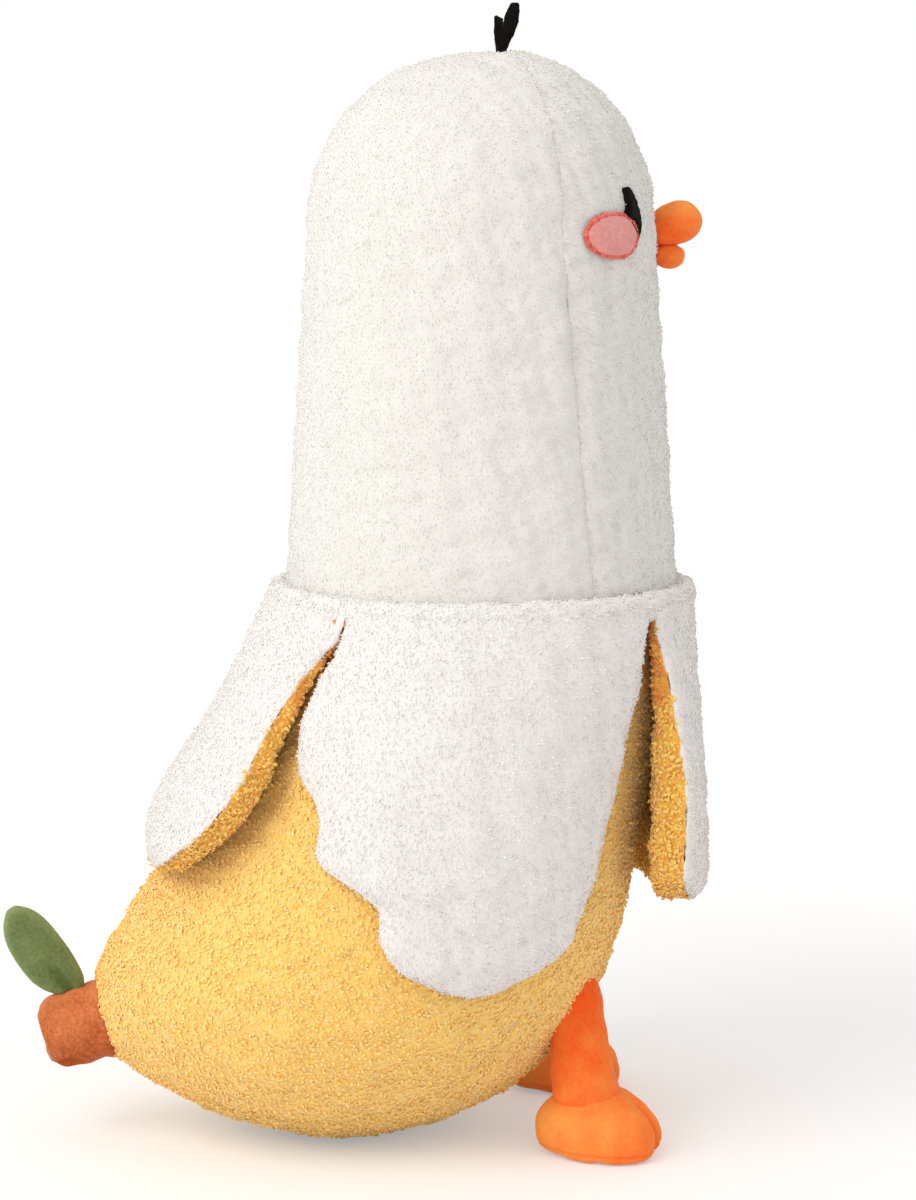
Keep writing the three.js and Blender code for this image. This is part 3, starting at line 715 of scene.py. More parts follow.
class NodeRecipe(Graph):
    """A Geometry Nodes tree with named inputs, and a way to run it on a piece."""

    kinds = {"Geometry": "NodeSocketGeometry", "Finish": "NodeSocketMaterial", "Seed": "NodeSocketInt"}

    def __init__(self, name: str, inputs: Sequence[str]) -> None:
        """Starts the tree with a mesh input and the named inputs."""
        super().__init__(bpy.data.node_groups.new(name, "GeometryNodeTree"))
        face = self.tree.interface
        face.new_socket("Geometry", in_out="OUTPUT", socket_type="NodeSocketGeometry")
        for label in ("Geometry", *inputs, "Seed", "Finish"):
            kind = self.kinds.get(label, "NodeSocketFloat")
            face.new_socket(label, in_out="INPUT", socket_type=kind)
        self.given = self.node("NodeGroupInput").outputs

    def times(self, first: Socket, second: Socket | float) -> Socket:
        """The product of two values."""
        return self.node("ShaderNodeMath", {"operation": "MULTIPLY"}, {0: first, 1: second}).outputs[0]

    def random(self, shift: int, low: float, high: float) -> Socket:
        """A random number for each point, from the tree's seed and a shift of it."""
        seed = self.node("ShaderNodeMath", {"operation": "ADD"}, {0: self.given["Seed"], 1: float(shift)})
        sockets = {"Seed": seed.outputs[0], 2: low, 3: high}
        return self.node("FunctionNodeRandomValue", {"data_type": "FLOAT"}, sockets).outputs[1]

    def turned(self, rotation: Socket, axis: tuple, angle: Socket) -> Socket:
        """A rotation turned further about one of its own axes."""
        turn = self.node("FunctionNodeAxisAngleToRotation", {}, {"Axis": axis, "Angle": angle})
        sockets = {0: rotation, 1: turn.outputs[0]}
        return self.node("FunctionNodeRotateRotation", {"rotation_space": "LOCAL"}, sockets).outputs[0]

    def attribute(self, name: str, kind: str = "FLOAT") -> Socket:
        """A value kept on the mesh."""
        node = self.node("GeometryNodeInputNamedAttribute", {"data_type": kind}, {"Name": name})
        return node.outputs["Attribute"]

    def choices(self, shapes: Sequence[bpy.types.Object]) -> Socket:
        """The shapes that the tree picks from, as instances."""
        joined = self.node("GeometryNodeJoinGeometry")
        for shape in shapes:
            info = self.node("GeometryNodeObjectInfo", {}, {"Object": shape, "As Instance": True})
            self.link(info.outputs["Geometry"], joined.inputs[0])
        return joined.outputs[0]

    def end(self, instances: Socket, kept: Socket | None = None) -> None:
        """Gives each instance a tone, makes them real, adds what is kept and sets the finish."""
        toned = self.node(
            "GeometryNodeStoreNamedAttribute", {"data_type": "FLOAT", "domain": "INSTANCE"},
            {"Geometry": instances, "Name": "tone", "Value": self.random(9, 0.0, 1.0)},
        )
        real = self.node("GeometryNodeRealizeInstances", {}, {0: toned.outputs[0]})
        both = self.node("GeometryNodeJoinGeometry")
        if kept is not None:
            self.link(kept, both.inputs[0])
        self.link(real.outputs[0], both.inputs[0])
        sockets = {"Geometry": both.outputs[0], "Material": self.given["Finish"]}
        dyed = self.node("GeometryNodeSetMaterial", {}, sockets)
        self.node("NodeGroupOutput", {}, {0: dyed.outputs[0]})

    def run(self, piece: bpy.types.Object, values: dict) -> None:
        """Runs the tree on a piece and leaves a plain mesh in its one finish."""
        modifier = piece.modifiers.new(self.tree.name, "NODES")
        modifier.node_group = self.tree
        for item in self.tree.interface.items_tree:
            if item.in_out == "INPUT" and item.name in values:
                modifier[item.identifier] = values[item.name]
        settle(piece)
        keep_only(piece, values["Finish"])


def pile_recipe(curls: Sequence[bpy.types.Object]) -> NodeRecipe:
    """The tree that grows curls on a cloth, as closely as its attribute cover says."""
    recipe = NodeRecipe("fleece_pile", ("Spacing", "Length", "Tilt"))
    given = recipe.given
    points = recipe.node(
        "GeometryNodeDistributePointsOnFaces", {"distribute_method": "POISSON"},
        {
            "Mesh": given["Geometry"], "Distance Min": given["Spacing"], "Density Max": 1500000.0,
            "Density Factor": recipe.attribute("cover"), "Seed": given["Seed"],
        },
    )
    rotation = recipe.turned(points.outputs["Rotation"], (0, 0, 1), recipe.random(1, 0.0, FULL_TURN))
    lean = recipe.times(recipe.random(2, -0.25, 1.0), given["Tilt"])
    rotation = recipe.turned(rotation, (0, 1, 0), lean)
    placed = recipe.node(
        "GeometryNodeInstanceOnPoints", {},
        {
            "Points": points.outputs["Points"], "Instance": recipe.choices(curls),
            "Pick Instance": True, "Rotation": rotation,
            "Scale": recipe.times(recipe.random(3, 0.75, 1.25), given["Length"]),
        },
    )
    recipe.end(placed.outputs[0], kept=given["Geometry"])
    return recipe


def stitch_recipe(thread: bpy.types.Object) -> NodeRecipe:
    """The tree that lays satin stitches across a line, whose attribute out points off the cloth."""
    recipe = NodeRecipe("satin_stitches", ("Count", "Length", "Slant"))
    given = recipe.given
    line = recipe.node("GeometryNodeMeshToCurve", {}, {0: given["Geometry"]})
    even = recipe.node("GeometryNodeResampleCurve", {}, {"Curve": line.outputs[0], "Count": given["Count"]})
    tangent = recipe.node("GeometryNodeInputTangent").outputs[0]
    settings = {"axis": "Z"}
    sockets = {"Vector": recipe.attribute("out", "FLOAT_VECTOR")}
    upright = recipe.node("FunctionNodeAlignRotationToVector", settings, sockets)
    settings = {"axis": "Y", "pivot_axis": "Z"}
    along = recipe.node(
        "FunctionNodeAlignRotationToVector", settings, {"Rotation": upright.outputs[0], "Vector": tangent}
    )
    slant = recipe.times(recipe.random(1, 0.2, 1.6), given["Slant"])
    slanted = recipe.turned(along.outputs[0], (0, 0, 1), slant)
    placed = recipe.node(
        "GeometryNodeInstanceOnPoints", {},
        {
            "Points": even.outputs[0], "Instance": recipe.choices([thread]), "Rotation": slanted,
            "Scale": recipe.times(recipe.random(2, 0.75, 1.3), given["Length"]),
        },
    )
    recipe.end(placed.outputs[0])
    return recipe


def keep_only(piece: bpy.types.Object, finish: bpy.types.Material) -> None:
    """Leaves one material on a piece."""
    piece.data.materials.clear()
    piece.data.materials.append(finish)
    piece.data.polygons.foreach_set("material_index", [0] * len(piece.data.polygons))


@dataclass(frozen=True)
class Pile:
    """A pile: how far its curls stand apart, their length and lean, a seed, and the cloth's place between the
    root colour, which is painted shade, and the tip colour.
    """

    spacing: float
    length: float
    tilt: float
    seed: int
    cloth: float = 0.5


@dataclass
class Workroom:
    """What every sub-assembly needs: the finishes, the curls and the stitches."""

    finishes: dict[str, bpy.types.Material]
    pile: NodeRecipe
    stitches: NodeRecipe
    # Painted shade near the neck starts at this height and is full this much higher.
    deep_from: float = 0.192
    deep_over: float = 0.03

    def fleece(
        self, piece: bpy.types.Object, cover: np.ndarray, crease: np.ndarray, pile: Pile, slot: str
    ) -> None:
        """Gives a cloth its clumps and its curls, and keeps it off the floor.

        Args:
            piece: The cloth.
            cover: How closely the pile grows, from 0 to 1, for each vertex.
            crease: How much shade is painted on it in a seam, from 0 to 1, for each vertex.
            pile: The pile's sizes.
            slot: The record's material slot.
        """
        ruffle(piece, 0.3 * MM, 6 * MM, 3)
        ruffle(piece, 0.35 * MM, 17 * MM, 4)
        store(piece, "cover", cover)
        store(piece, "crease", crease)
        # The cloth between the curls takes painted shade by its pile value, as the curls' roots do.
        store(piece, "pile", np.full(len(cover), pile.cloth))
        values = {
            "Spacing": pile.spacing, "Length": pile.length, "Tilt": pile.tilt,
            "Seed": pile.seed, "Finish": self.finishes[slot],
        }
        self.pile.run(piece, values)
        # The attribute depth is how much shade is painted on, rising with height towards the neck.
        points = coordinates(piece)
        height = points[:, 2] + 0.01 * ripples(points, 12 * MM, 5)
        store(piece, "depth", np.clip((height - self.deep_from) / self.deep_over, 0, 1))
        grounded(piece)

    def dress(
        self, piece: bpy.types.Object, body: str, slot: str, nodes: Sequence[str], fill: float | None = None
    ) -> None:
        keep_only(piece, self.finishes[slot])
        declare(piece, body, nodes)


def declare(
    piece: bpy.types.Object, body: str, nodes: Sequence[str]
) -> None:
    """Tells the frame what a piece rides on and stands for.

    Args:
        piece: The finished piece.
        body: The frame's body that it moves with.
        nodes: The frame's nodes that it replaces.
    """
    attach(piece, body)
    register(piece, nodes)


def register(piece: bpy.types.Object, nodes: Sequence[str]) -> None:
    """Tells the frame what a piece stands for, and logs it."""
    if nodes:
        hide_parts(*nodes)
    log.info("%s: %d triangles", piece.name, sum(len(face.vertices) - 2 for face in piece.data.polygons))


# ---- Head and body ----


@dataclass
class HeadCover:
    """The head's front panel and its two back panels."""

    room: Workroom
    face_seam_turn: float = 63 * DEG
    face_seam_crown_turn: float = 70 * DEG
    pile_depth: float = 1.3 * MM
    wall: float = 3.0 * MM
    seam_depth: float = 0.6 * MM
    seam_width: float = 3.0 * MM
    seam_fade: float = 20 * MM
    spacing: float = 2.0 * MM
    overlap: float = 0.009
    wall_rows: int = 84
    dome_rows: int = 58
    crown_hole: float = 1.2 * MM
    bare_crown: float = 3 * MM
    covered: float = 1.5 * MM

    def _seam(self, level: np.ndarray) -> np.ndarray:
        """The turn of the seam between the front and the back."""
        share = np.minimum(level, 1)
        return self.face_seam_turn + (self.face_seam_crown_turn - self.face_seam_turn) * share

    def _panel(
        self, name: str, start: Callable, end: Callable
    ) -> tuple[bpy.types.Object, np.ndarray, np.ndarray]:
        """One panel between two seams, given as turns at a level, with its cover and its painted shade along
        the seams.
        """
        shrink = (2 * self.crown_hole / TRUNK.crown_depth) ** TRUNK.dome_fullness
        top = 1 + math.acos(shrink) / (HALF_TURN / 2)
        dome = 1 + (top - 1) * (1 - (1 - np.linspace(0, 1, self.dome_rows)[1:]) ** 1.15)
        level = np.concatenate([np.linspace(0.0, 1.0, self.wall_rows), dome])
        width = float((end(np.array([0.5])) - start(np.array([0.5])))[0])
        share = np.linspace(0, 1, int(width * TRUNK.crown_depth / 2 / self.spacing))
        first, last = start(level)[:, None] - self.overlap, end(level)[:, None] + self.overlap
        turn = first + (last - first) * share
        level = np.broadcast_to(level[:, None], turn.shape)
        across = TRUNK.head(level, turn, 0) - TRUNK.head(level, turn + HALF_TURN, 0)
        radius = np.linalg.norm(across, axis=-1) / 2
        near = np.exp(-((np.minimum(turn - first, last - turn) * radius / self.seam_width) ** 2))
        near *= np.clip(radius / self.seam_fade, 0, 1) * np.clip((1.6 - level) / 0.5, 0.25, 1)
        outer = TRUNK.head(level, turn, self.pile_depth + self.seam_depth * near)
        inner = TRUNK.head(level, turn, self.pile_depth + self.seam_depth + self.wall)
        hidden = np.clip((outer[..., 2] - TRUNK.neck_height) / self.covered, 0, 1)
        hidden *= np.clip((radius - self.bare_crown) / (2 * MM), 0, 1)
        # The last value paints shade along the seam grooves.
        return shell_mesh(name, outer, inner), hidden * (1 - 0.2 * near), 0.3 * near

    def build(self, clear: Callable[[np.ndarray], np.ndarray]) -> None:
        """Builds the three panels.

        Args:
            clear: Says how much pile grows at some places, 0 under the eyes and cheeks.
        """
        def left(seam: Callable) -> Callable:
            """The same seam on the left side."""
            return lambda level: -seam(level)

        seam = self._seam
        panels = [
            ("head_front_fleece", left(seam), seam, ["head_front_panel", "head_stuffing"]),
            ("head_back_right_fleece", seam, half_turn, ["head_back_panel_right"]),
            ("head_back_left_fleece", left(half_turn), left(seam), ["head_back_panel_left"]),
        ]
        for seed, (name, start, end, nodes) in enumerate(panels):
            piece, cover, crease = self._panel(name, start, end)
            cover = outside(piece, cover) * clear(coordinates(piece))
            pile = Pile(1.2 * MM, (1.15 if seed else 1.35) * MM, 1.2, 10 + seed, 0.9)
            self.room.fleece(piece, cover, outside(piece, crease), pile, "white_fleece")
            declare(piece, "trunk", nodes)


def half_turn(level: np.ndarray) -> np.ndarray:
    """The turn of the seam down the back."""
    return np.full(np.shape(level), HALF_TURN)


def outside(piece: bpy.types.Object, values: np.ndarray) -> np.ndarray:
    """Values of a shell's outer grid, followed by zeros for the rest of its vertices."""
    rest = len(piece.data.vertices) - values.size
    return np.concatenate([np.asarray(values, float).ravel(), np.zeros(rest)])


@dataclass
class BodyCover:
    """The banana body's belly panel and its two side panels."""

    room: Workroom
    belly_seam_turn: float = 52 * DEG
    pile_depth: float = 1.6 * MM
    wall: float = 3.2 * MM
    seam_depth: float = 0.6 * MM
    seam_width: float = 2.5 * MM
    spacing: float = 2.8 * MM
    overlap: float = 0.005
    under_petals: float = 0.25
    bare_top: float = 0.055

    def _panel(self, name: str, start: float, end: float) -> tuple[bpy.types.Object, np.ndarray]:
        """One panel between two seams, given as turns, with its cover."""
        columns = int((end - start) * TRUNK.body_width * 0.45 / self.spacing)
        station, turn = np.broadcast_arrays(
            np.linspace(0.0, 1.0, 110)[:, None],
            np.linspace(start - self.overlap, end + self.overlap, columns)[None, :],
        )
        distance = np.minimum(turn - start, end - turn) * TRUNK.section(station)[3]
        dip = self.seam_depth * np.exp(-((distance / self.seam_width) ** 2))
        tail = 2.0 * MM * np.clip((station - 0.96) / 0.04, 0, 1) ** 2
        outer = TRUNK.body(station, turn, self.pile_depth + dip + tail)
        inner = TRUNK.body(station, turn, self.pile_depth + self.seam_depth + self.wall)
        cover = np.where(self._hidden(station, turn), self.under_petals, 1.0)
        cover *= np.clip((station - self.bare_top) / 0.02, 0, 1)
        return shell_mesh(name, outer, inner), cover

    @staticmethod
    def _hidden(station: np.ndarray, turn: np.ndarray) -> np.ndarray:
        """Whether places of the body lie under a side petal at rest."""
        rows = np.array(RIGHT_PETAL.rows)
        below = station - Peel.top_station
        rear = np.interp(below, rows[:, 0], rows[:, 1], right=0) * HALF_TURN
        front = np.interp(below, rows[:, 0], rows[:, 2], right=1) * HALF_TURN
        return (np.abs(turn) < rear - 0.05) & (np.abs(turn) > front + 0.05)

    def build(self) -> None:
        """Builds the three panels."""
        seam = self.belly_seam_turn
        panels = [
            ("body_belly_fleece", -seam, seam, ["body_belly_panel", "body_stuffing"]),
            ("body_right_fleece", seam, HALF_TURN, ["body_right_panel"]),
            ("body_left_fleece", -HALF_TURN, -seam, ["body_left_panel"]),
        ]
        for seed, (name, start, end, nodes) in enumerate(panels):
            piece, cover = self._panel(name, start, end)
            pile = Pile(1.22 * MM, 2.4 * MM, 1.2, 20 + seed, 0.4)
            cover = outside(piece, cover)
            self.room.fleece(piece, cover, 0 * cover, pile, "yellow_fleece")
            declare(piece, "trunk", nodes)


# ---- Peel ----


class Hang(Enum):
    """How a petal lies: clear of the body, or on it."""

    FREE = "free"
    RESTING = "resting"


@dataclass(frozen=True)
class Petal:
    """One petal of the peel.

    Each row is a station below the collar, the petal's first and last edge in half turns, how far
    its middle and its edges stand off the body, and how full it is.
    """

    name: str
    rows: Rows
    hang: Hang
    lift_axis_turn: float
    seed: int

    def mirrored(self, name: str) -> "Petal":
        """The same petal on the other side."""
        rows = tuple((s, -a, -b, *rest) for s, a, b, *rest in self.rows)
        return Petal(name, rows, self.hang, -self.lift_axis_turn, self.seed + 1)


FRONT_PETAL = Petal(
    "front",
    (
        (-0.02, -0.246, 0.246, 0, 0, 0), (0.015, -0.24, 0.24, 0, 0.1, 0.2),
        (0.05, -0.232, 0.232, 0.02, 0.33, 0.5), (0.1, -0.225, 0.225, 0.13, 0.66, 0.8),
        (0.15, -0.22, 0.22, 0.32, 1.0, 0.95), (0.2, -0.215, 0.215, 0.55, 1.26, 1),
        (0.24, -0.21, 0.21, 0.74, 1.36, 1), (0.268, -0.2, 0.2, 0.88, 1.36, 1),
        (0.286, -0.18, 0.18, 0.95, 1.3, 0.9), (0.298, -0.15, 0.15, 0.98, 1.2, 0.7),
        (0.305, -0.108, 0.108, 1.0, 1.1, 0.4), (0.309, -0.055, 0.055, 1.0, 1.03, 0.15),
        (0.31, -0.004, 0.004, 1.0, 1.0, 0),
    ),
    Hang.FREE, 0.0, 40,
)
BACK_PETAL = Petal(
    "back",
    (
        (-0.02, 0.747, 1.253, 0, 0, 0), (0.015, 0.752, 1.248, 0.03, 0.02, 0.2),
        (0.05, 0.772, 1.228, 0.11, 0.1, 0.5), (0.105, 0.806, 1.194, 0.2, 0.25, 0.8),
        (0.165, 0.815, 1.185, 0.38, 0.6, 0.95), (0.225, 0.803, 1.197, 0.58, 0.96, 1),
        (0.285, 0.805, 1.195, 0.56, 1.12, 1), (0.335, 0.825, 1.175, 0.35, 1.03, 0.9),
        (0.37, 0.852, 1.148, 0.14, 0.8, 0.7), (0.388, 0.885, 1.115, 0.07, 0.5, 0.4),
        (0.397, 0.925, 1.075, 0.04, 0.3, 0.15), (0.4, 0.965, 1.035, 0.03, 0.2, 0.05),
        (0.401, 0.997, 1.003, 0.02, 0.18, 0),
    ),
    Hang.FREE, HALF_TURN, 50,
)
RIGHT_PETAL = Petal(
    "right",
    (
        (-0.02, 0.745, 0.255, 0, 0, 0), (0.015, 0.747, 0.259, 0, 0, 0.2), (0.05, 0.758, 0.261, 0, 0, 0.45),
        (0.1, 0.783, 0.267, 0, 0, 0.7), (0.15, 0.792, 0.273, 0, 0, 0.85), (0.19, 0.78, 0.275, 0, 0, 0.9),
        (0.222, 0.743, 0.278, 0, 0, 0.9), (0.252, 0.704, 0.279, 0, 0, 0.9), (0.285, 0.688, 0.281, 0, 0, 0.9),
        (0.308, 0.668, 0.284, 0, 0, 0.9), (0.325, 0.62, 0.288, 0, 0, 0.85), (0.345, 0.572, 0.295, 0, 0, 0.8),
        (0.38, 0.553, 0.312, 0, 0, 0.75), (0.41, 0.528, 0.35, 0, 0, 0.6), (0.43, 0.502, 0.374, 0, 0, 0.4),
        (0.441, 0.462, 0.392, 0, 0, 0.15), (0.4445, 0.44, 0.408, 0, 0, 0.05), (0.446, 0.427, 0.423, 0, 0, 0),
    ),
    Hang.RESTING, HALF_TURN / 2, 60,
)


@dataclass
class Peel:
    """The collar round the neck and the four petals that hang from it."""

    room: Workroom
    top_station: float = 0.0215
    rest_gap: float = 0.9 * MM
    hang_lift: float = 20 * MM
    half_ply: float = 4.3 * MM
    crown: float = 4.5 * MM
    lining_roll: float = 13 * MM
    lining_share: float = 0.62
    rim_width: float = 9 * MM
    pile_depth: float = 1.3 * MM
    collar_section: Rows = (
        (-2, -1.5), (2, -1.5), (3.9, -0.6), (4.6, 1), (4.6, 3.2), (3.6, 5), (1.2, 6.3), (-1.5, 6.8),
        (-4, 6), (-4.6, 4), (-3.5, 1),
    )
    lining_push: float = 5 * MM
    pile_spacing: float = 1.08 * MM
    rim_rows: int = 9

    def _plies(self, petal: Petal) -> tuple[np.ndarray, np.ndarray, np.ndarray]:
        """The outer side of a petal's white ply, its seam sheet and the outer side of its lining."""
        share = np.linspace(0, 1, 66)[:, None]
        column = np.sin(np.linspace(-1, 1, 60) * HALF_TURN / 2)[None, :]
        table = catmull(petal.rows, share[:, 0])
        station, first, last, lift, edge_lift, full = (table[:, i][:, None] for i in range(6))
        turn = (first + (last - first) * (column + 1) / 2) * HALF_TURN
        station = np.broadcast_to(station + self.top_station, turn.shape)
        hang = self.hang_lift * (lift + (edge_lift - lift) * column**2)
        middle = self.rest_gap + hang + self.half_ply
        sheet = TRUNK.body(station, turn, -middle)
        inwards, outwards = self._edges(sheet)
        rim = np.sqrt(1 - (1 - inwards) ** 2)
        bulge = self.crown * np.clip(full, 0, 1) * (1 - np.abs(column) ** 3)
        roll = self.half_ply + np.minimum(self.lining_roll, self.lining_share * hang)
        ply = self.half_ply * (0.75 + 0.25 * np.clip(2 * full, 0, 1))
        push = 4 * inwards * (1 - inwards) * self.lining_push * np.clip(hang / (3 * MM), 0, 1)
        white = TRUNK.body(station, turn, -(middle + (ply + bulge - self.pile_depth) * rim))
        lining = TRUNK.body(station, turn, -(middle - (roll - self.pile_depth) * rim))
        return white, sheet, lining + push[..., None] * outwards

    def _edges(self, sheet: np.ndarray) -> tuple[np.ndarray, np.ndarray]:
        """How far inside its free edges a petal's places lie, from 0 to 1, and the way out of it."""
        edge = np.concatenate([sheet[:, 0], sheet[:, -1], sheet[-1]])
        away = edge[:, None, :] - sheet.reshape(1, -1, 3)
        length = np.linalg.norm(away, axis=-1)
        nearest = length.argmin(axis=0)
        along = np.arange(len(nearest))
        distance = length[nearest, along]
        outwards = away[nearest, along] / np.maximum(distance, 1e-9)[:, None]
        inwards = np.clip(distance / self.rim_width, 0, 1)
        return inwards.reshape(sheet.shape[:2]), outwards.reshape(sheet.shape)

    def _petal(self, petal: Petal) -> None:
        """Builds a petal's white ply and its yellow lining."""
        body = f"{petal.name}_petal"
        white, sheet, lining = self._plies(petal)
        hidden = 0.35 if petal.hang is Hang.RESTING else 1.0
        plies = [
            (f"{body}_white_fleece", white, "peel_white_fleece", [f"{body}_white_ply", f"{body}_wadding"],
             1.0, 0, 0, Pile(self.pile_spacing, 1.6 * MM, 1.2, petal.seed, 0.9)),
            (f"{body}_yellow_lining", lining, "yellow_lining", [f"{body}_yellow_ply"],
             hidden, 2, 5, Pile(self.pile_spacing, 2.9 * MM, 1.2, petal.seed + 5, 0.2)),
        ]
        for name, outer, slot, nodes, middle, top_row, bare_rows, pile in plies:
            piece = shell_mesh(name, outer[top_row:], sheet[top_row:])
            cover = np.full(outer.shape[:2], middle)
            rim = self.rim_rows
            cover[:, :rim] = cover[:, -rim:] = cover[-rim:] = 1.0
            cover[:bare_rows] = 0
            cover = outside(piece, cover[top_row:])
            self.room.fleece(piece, cover, 0 * cover, pile, slot)
            self._hinge(piece, petal)
            register(piece, nodes)

    def _hinge(self, piece: bpy.types.Object, petal: Petal) -> None:
        """Works out where a petal's hinge would run at the top, which is not used, and bakes the petal's
        place into its mesh.
        """
        turn = petal.lift_axis_turn
        middle = self.rest_gap + self.half_ply
        start = TRUNK.body(np.array(self.top_station - 0.015), np.array(turn), -middle)
        end = TRUNK.body(np.array(self.top_station + 0.03), np.array(turn), -middle)
        end = np.array([start[0], start[1], end[2]])
        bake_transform(piece)

    def _collar(self) -> None:
        """Builds the ring at the neck where the peel folds over."""
        turn = circle(180)[:, None]
        table = np.array(self.collar_section) * MM
        section = catmull(np.vstack([table, table[:1]]), np.linspace(0, 1, 33)[:-1])
        height, offset = section[:, 0][None, :], section[:, 1][None, :]
        low = TRUNK.body(np.clip(-height, 0, 1) / TRUNK.body_length, turn, -offset)
        high = TRUNK.head(TRUNK.level(np.clip(height, 0, 1)), turn, -offset)
        grid = np.where((height < 0)[..., None], low, high)
        faces = grid_faces(*grid.shape[:2], wrap=True, closed=True)
        piece = new_mesh("peel_collar_fleece", grid.reshape(-1, 3), faces)
        cover = np.broadcast_to(np.clip((offset + 0.8 * MM) / (0.6 * MM), 0, 1), grid.shape[:2]).ravel()
        pile = Pile(self.pile_spacing, 1.7 * MM, 1.2, 35, 0.9)
        self.room.fleece(piece, cover, 0 * cover, pile, "peel_white_fleece")
        declare(piece, "trunk", ["peel_collar"])

    def build(self) -> None:
        """Builds the collar and the petals."""
        self._collar()
        for petal in (FRONT_PETAL, BACK_PETAL, RIGHT_PETAL, RIGHT_PETAL.mirrored("left")):
            self._petal(petal)


# ---- Stem, leaf and tuft ----


@dataclass
class StemAndLeaf:
    """The gathered velvet stem at the tail, with a padded leaf sewn to its top."""

    room: Workroom
    stem_length: float = 28 * MM
    stem_profile: Rows = (
        (-0.1, 0.8), (0, 0.87), (0.2, 0.85), (0.45, 0.83), (0.65, 0.82), (0.82, 0.78), (0.93, 0.7),
        (1.0, 0.56), (1.02, 0.38), (1.0, 0.2), (0.98, 0.02),
    )
    dent_along: float = 0.74
    dent_turn: float = -122 * DEG
    dent_depth: float = 4.4 * MM
    dent_reach: float = 4.5 * MM
    leaf_length: float = 46 * MM
    leaf_width: float = 22.5 * MM
    leaf_lean: float = 34 * DEG
    leaf_station: float = 0.42
    leaf_gap: float = -1.4 * MM
    leaf_fullness: float = 4.2 * MM
    leaf_shift: float = 0.4 * MM
    leaf_rows: tuple[float, ...] = (0.6, 0.82, 0.92, 0.98, 1, 1, 0.98, 0.93, 0.82, 0.6, 0.2)

    def _tail(self) -> tuple[np.ndarray, np.ndarray, np.ndarray, float]:
        """The tail's centre, the stem's axis, its upward direction and the tail's radius."""
        centre, forward, half_depth, _ = TRUNK.section(1.0)
        up = np.array([0, -forward[0], -forward[1]])
        axis = np.array([0, up[2], -up[1]])
        return np.array([0, *centre]), axis, up, float(half_depth)

    def _stem(self) -> None:
        """Builds the stem: gathered at its closed end, with a dent where the gathers meet."""
        centre, axis, up, radius = self._tail()
        side = np.array([1.0, 0, 0])
        turn = circle(96)
        rings = []
        for along, size in catmull(self.stem_profile, np.linspace(0, 1, 50)):
            gather = 0.05 * np.clip((along - 0.5) / 0.5, 0, 1) ** 2
            folds = 1 + gather * np.sin(8 * turn + 0.8 * np.sin(3 * turn)) * min(1, 3 * size)
            reach = radius * size * folds
            middle = centre + axis * along * self.stem_length
            rings.append(ring(middle, side, up, reach * np.cos(turn), reach * np.sin(turn)))
        piece = loft_mesh("stem_velvet_sleeve", rings)
        Stuffing(1.6 * MM, 0.9 * MM).fill(piece, lambda at: (at - centre) @ axis < 1 * MM)
        points = coordinates(piece)
        dent = (
            centre + axis * self.dent_along * self.stem_length
            + (side * math.cos(self.dent_turn) + up * math.sin(self.dent_turn)) * radius * 0.78
        )
        away = points - dent
        along, round_it = away @ axis, away - (away @ axis)[:, None] * axis
        reach = np.hypot(along * 0.8, np.linalg.norm(round_it, axis=1)) / self.dent_reach
        depth = self.dent_depth * np.exp(-(reach**2)) - 0.7 * MM * np.exp(-(((reach - 1.5) / 0.4) ** 2))
        inwards = centre + axis * self.dent_along * self.stem_length * 0.9 - dent
        points += depth[:, None] * inwards / np.linalg.norm(inwards)
        move_vertices(piece, points)
        ruffle(piece, 0.25 * MM, 9 * MM, 71)
        # Painted light on the stem's top, painted shade underneath and in the dent.
        top = np.clip((points - centre) @ up / radius, -1, 1)
        store(piece, "nap", 0.35 - 0.5 * np.exp(-(reach**2)) + 0.3 * top)
        nodes = ["stem_sleeve", "stem_end_cap", "stem_stuffing"]
        self.room.dress(piece, "trunk", "stem_velvet", nodes, 0.7)

    def _leaf(self) -> None:
        """Builds the leaf: two velvet plies sewn at their edge over a thin pad, folded at its foot."""
        centre, axis, up, radius = self._tail()
        root = centre + axis * self.leaf_station * self.stem_length + up * (0.88 * radius + self.leaf_gap)
        lean = self.leaf_lean
        along = np.array([0, math.sin(lean), math.cos(lean)])
        across = np.array([0, math.cos(lean), -math.sin(lean)])
        side = np.array([1.0, 0, 0])
        share = np.linspace(0, 1, 54)
        width = catmull(self.leaf_rows, share)[:, 0] * self.leaf_width / 2
        column = np.sin(np.linspace(-1, 1, 40) * HALF_TURN / 2)
        spread = np.clip(share * 3.5, 0, 1)[:, None]
        direction = axis + (across - axis) * spread
        direction /= np.linalg.norm(direction, axis=1)[:, None]
        bow = np.sin(share * HALF_TURN)[:, None] * across * 0.8 * MM
        line = root + along * (share * self.leaf_length)[:, None] + bow
        flat = line[:, None] + direction[:, None] * (width[:, None] * column)[..., None]
        length = share * self.leaf_length
        ends = np.minimum(length / (2 * MM) + 0.35, (self.leaf_length - length) / (4 * MM))
        room = np.minimum((1 - np.abs(column)) * width[:, None] / (5 * MM), ends[:, None])
        rim = np.sqrt(1 - (1 - np.clip(room, 0, 1)) ** 2)
        fold = np.exp(-((column / 0.2) ** 2)) * np.clip(1 - share[:, None] / 0.4, 0, 1) ** 0.5
        half = 0.45 * MM + self.leaf_fullness * 0.8 * rim * (1 - 0.35 * column**2) * (1 - 0.62 * fold)
        middle = side * self.leaf_shift
        piece = shell_mesh(
            "leaf_velvet_pad", flat + middle + side * half[..., None], flat + middle - side * half[..., None]
        )
        edge = np.concatenate([flat[:, 0], flat[:, -1], flat[-1], flat[0]])

        def rim_distance(at: np.ndarray) -> np.ndarray:
            """How far places are from the leaf's sewn edge, seen from its side."""
            gaps = at[:, None, 1:] - edge[None, :, 1:]
            return np.sqrt((gaps**2).sum(-1)).min(1)

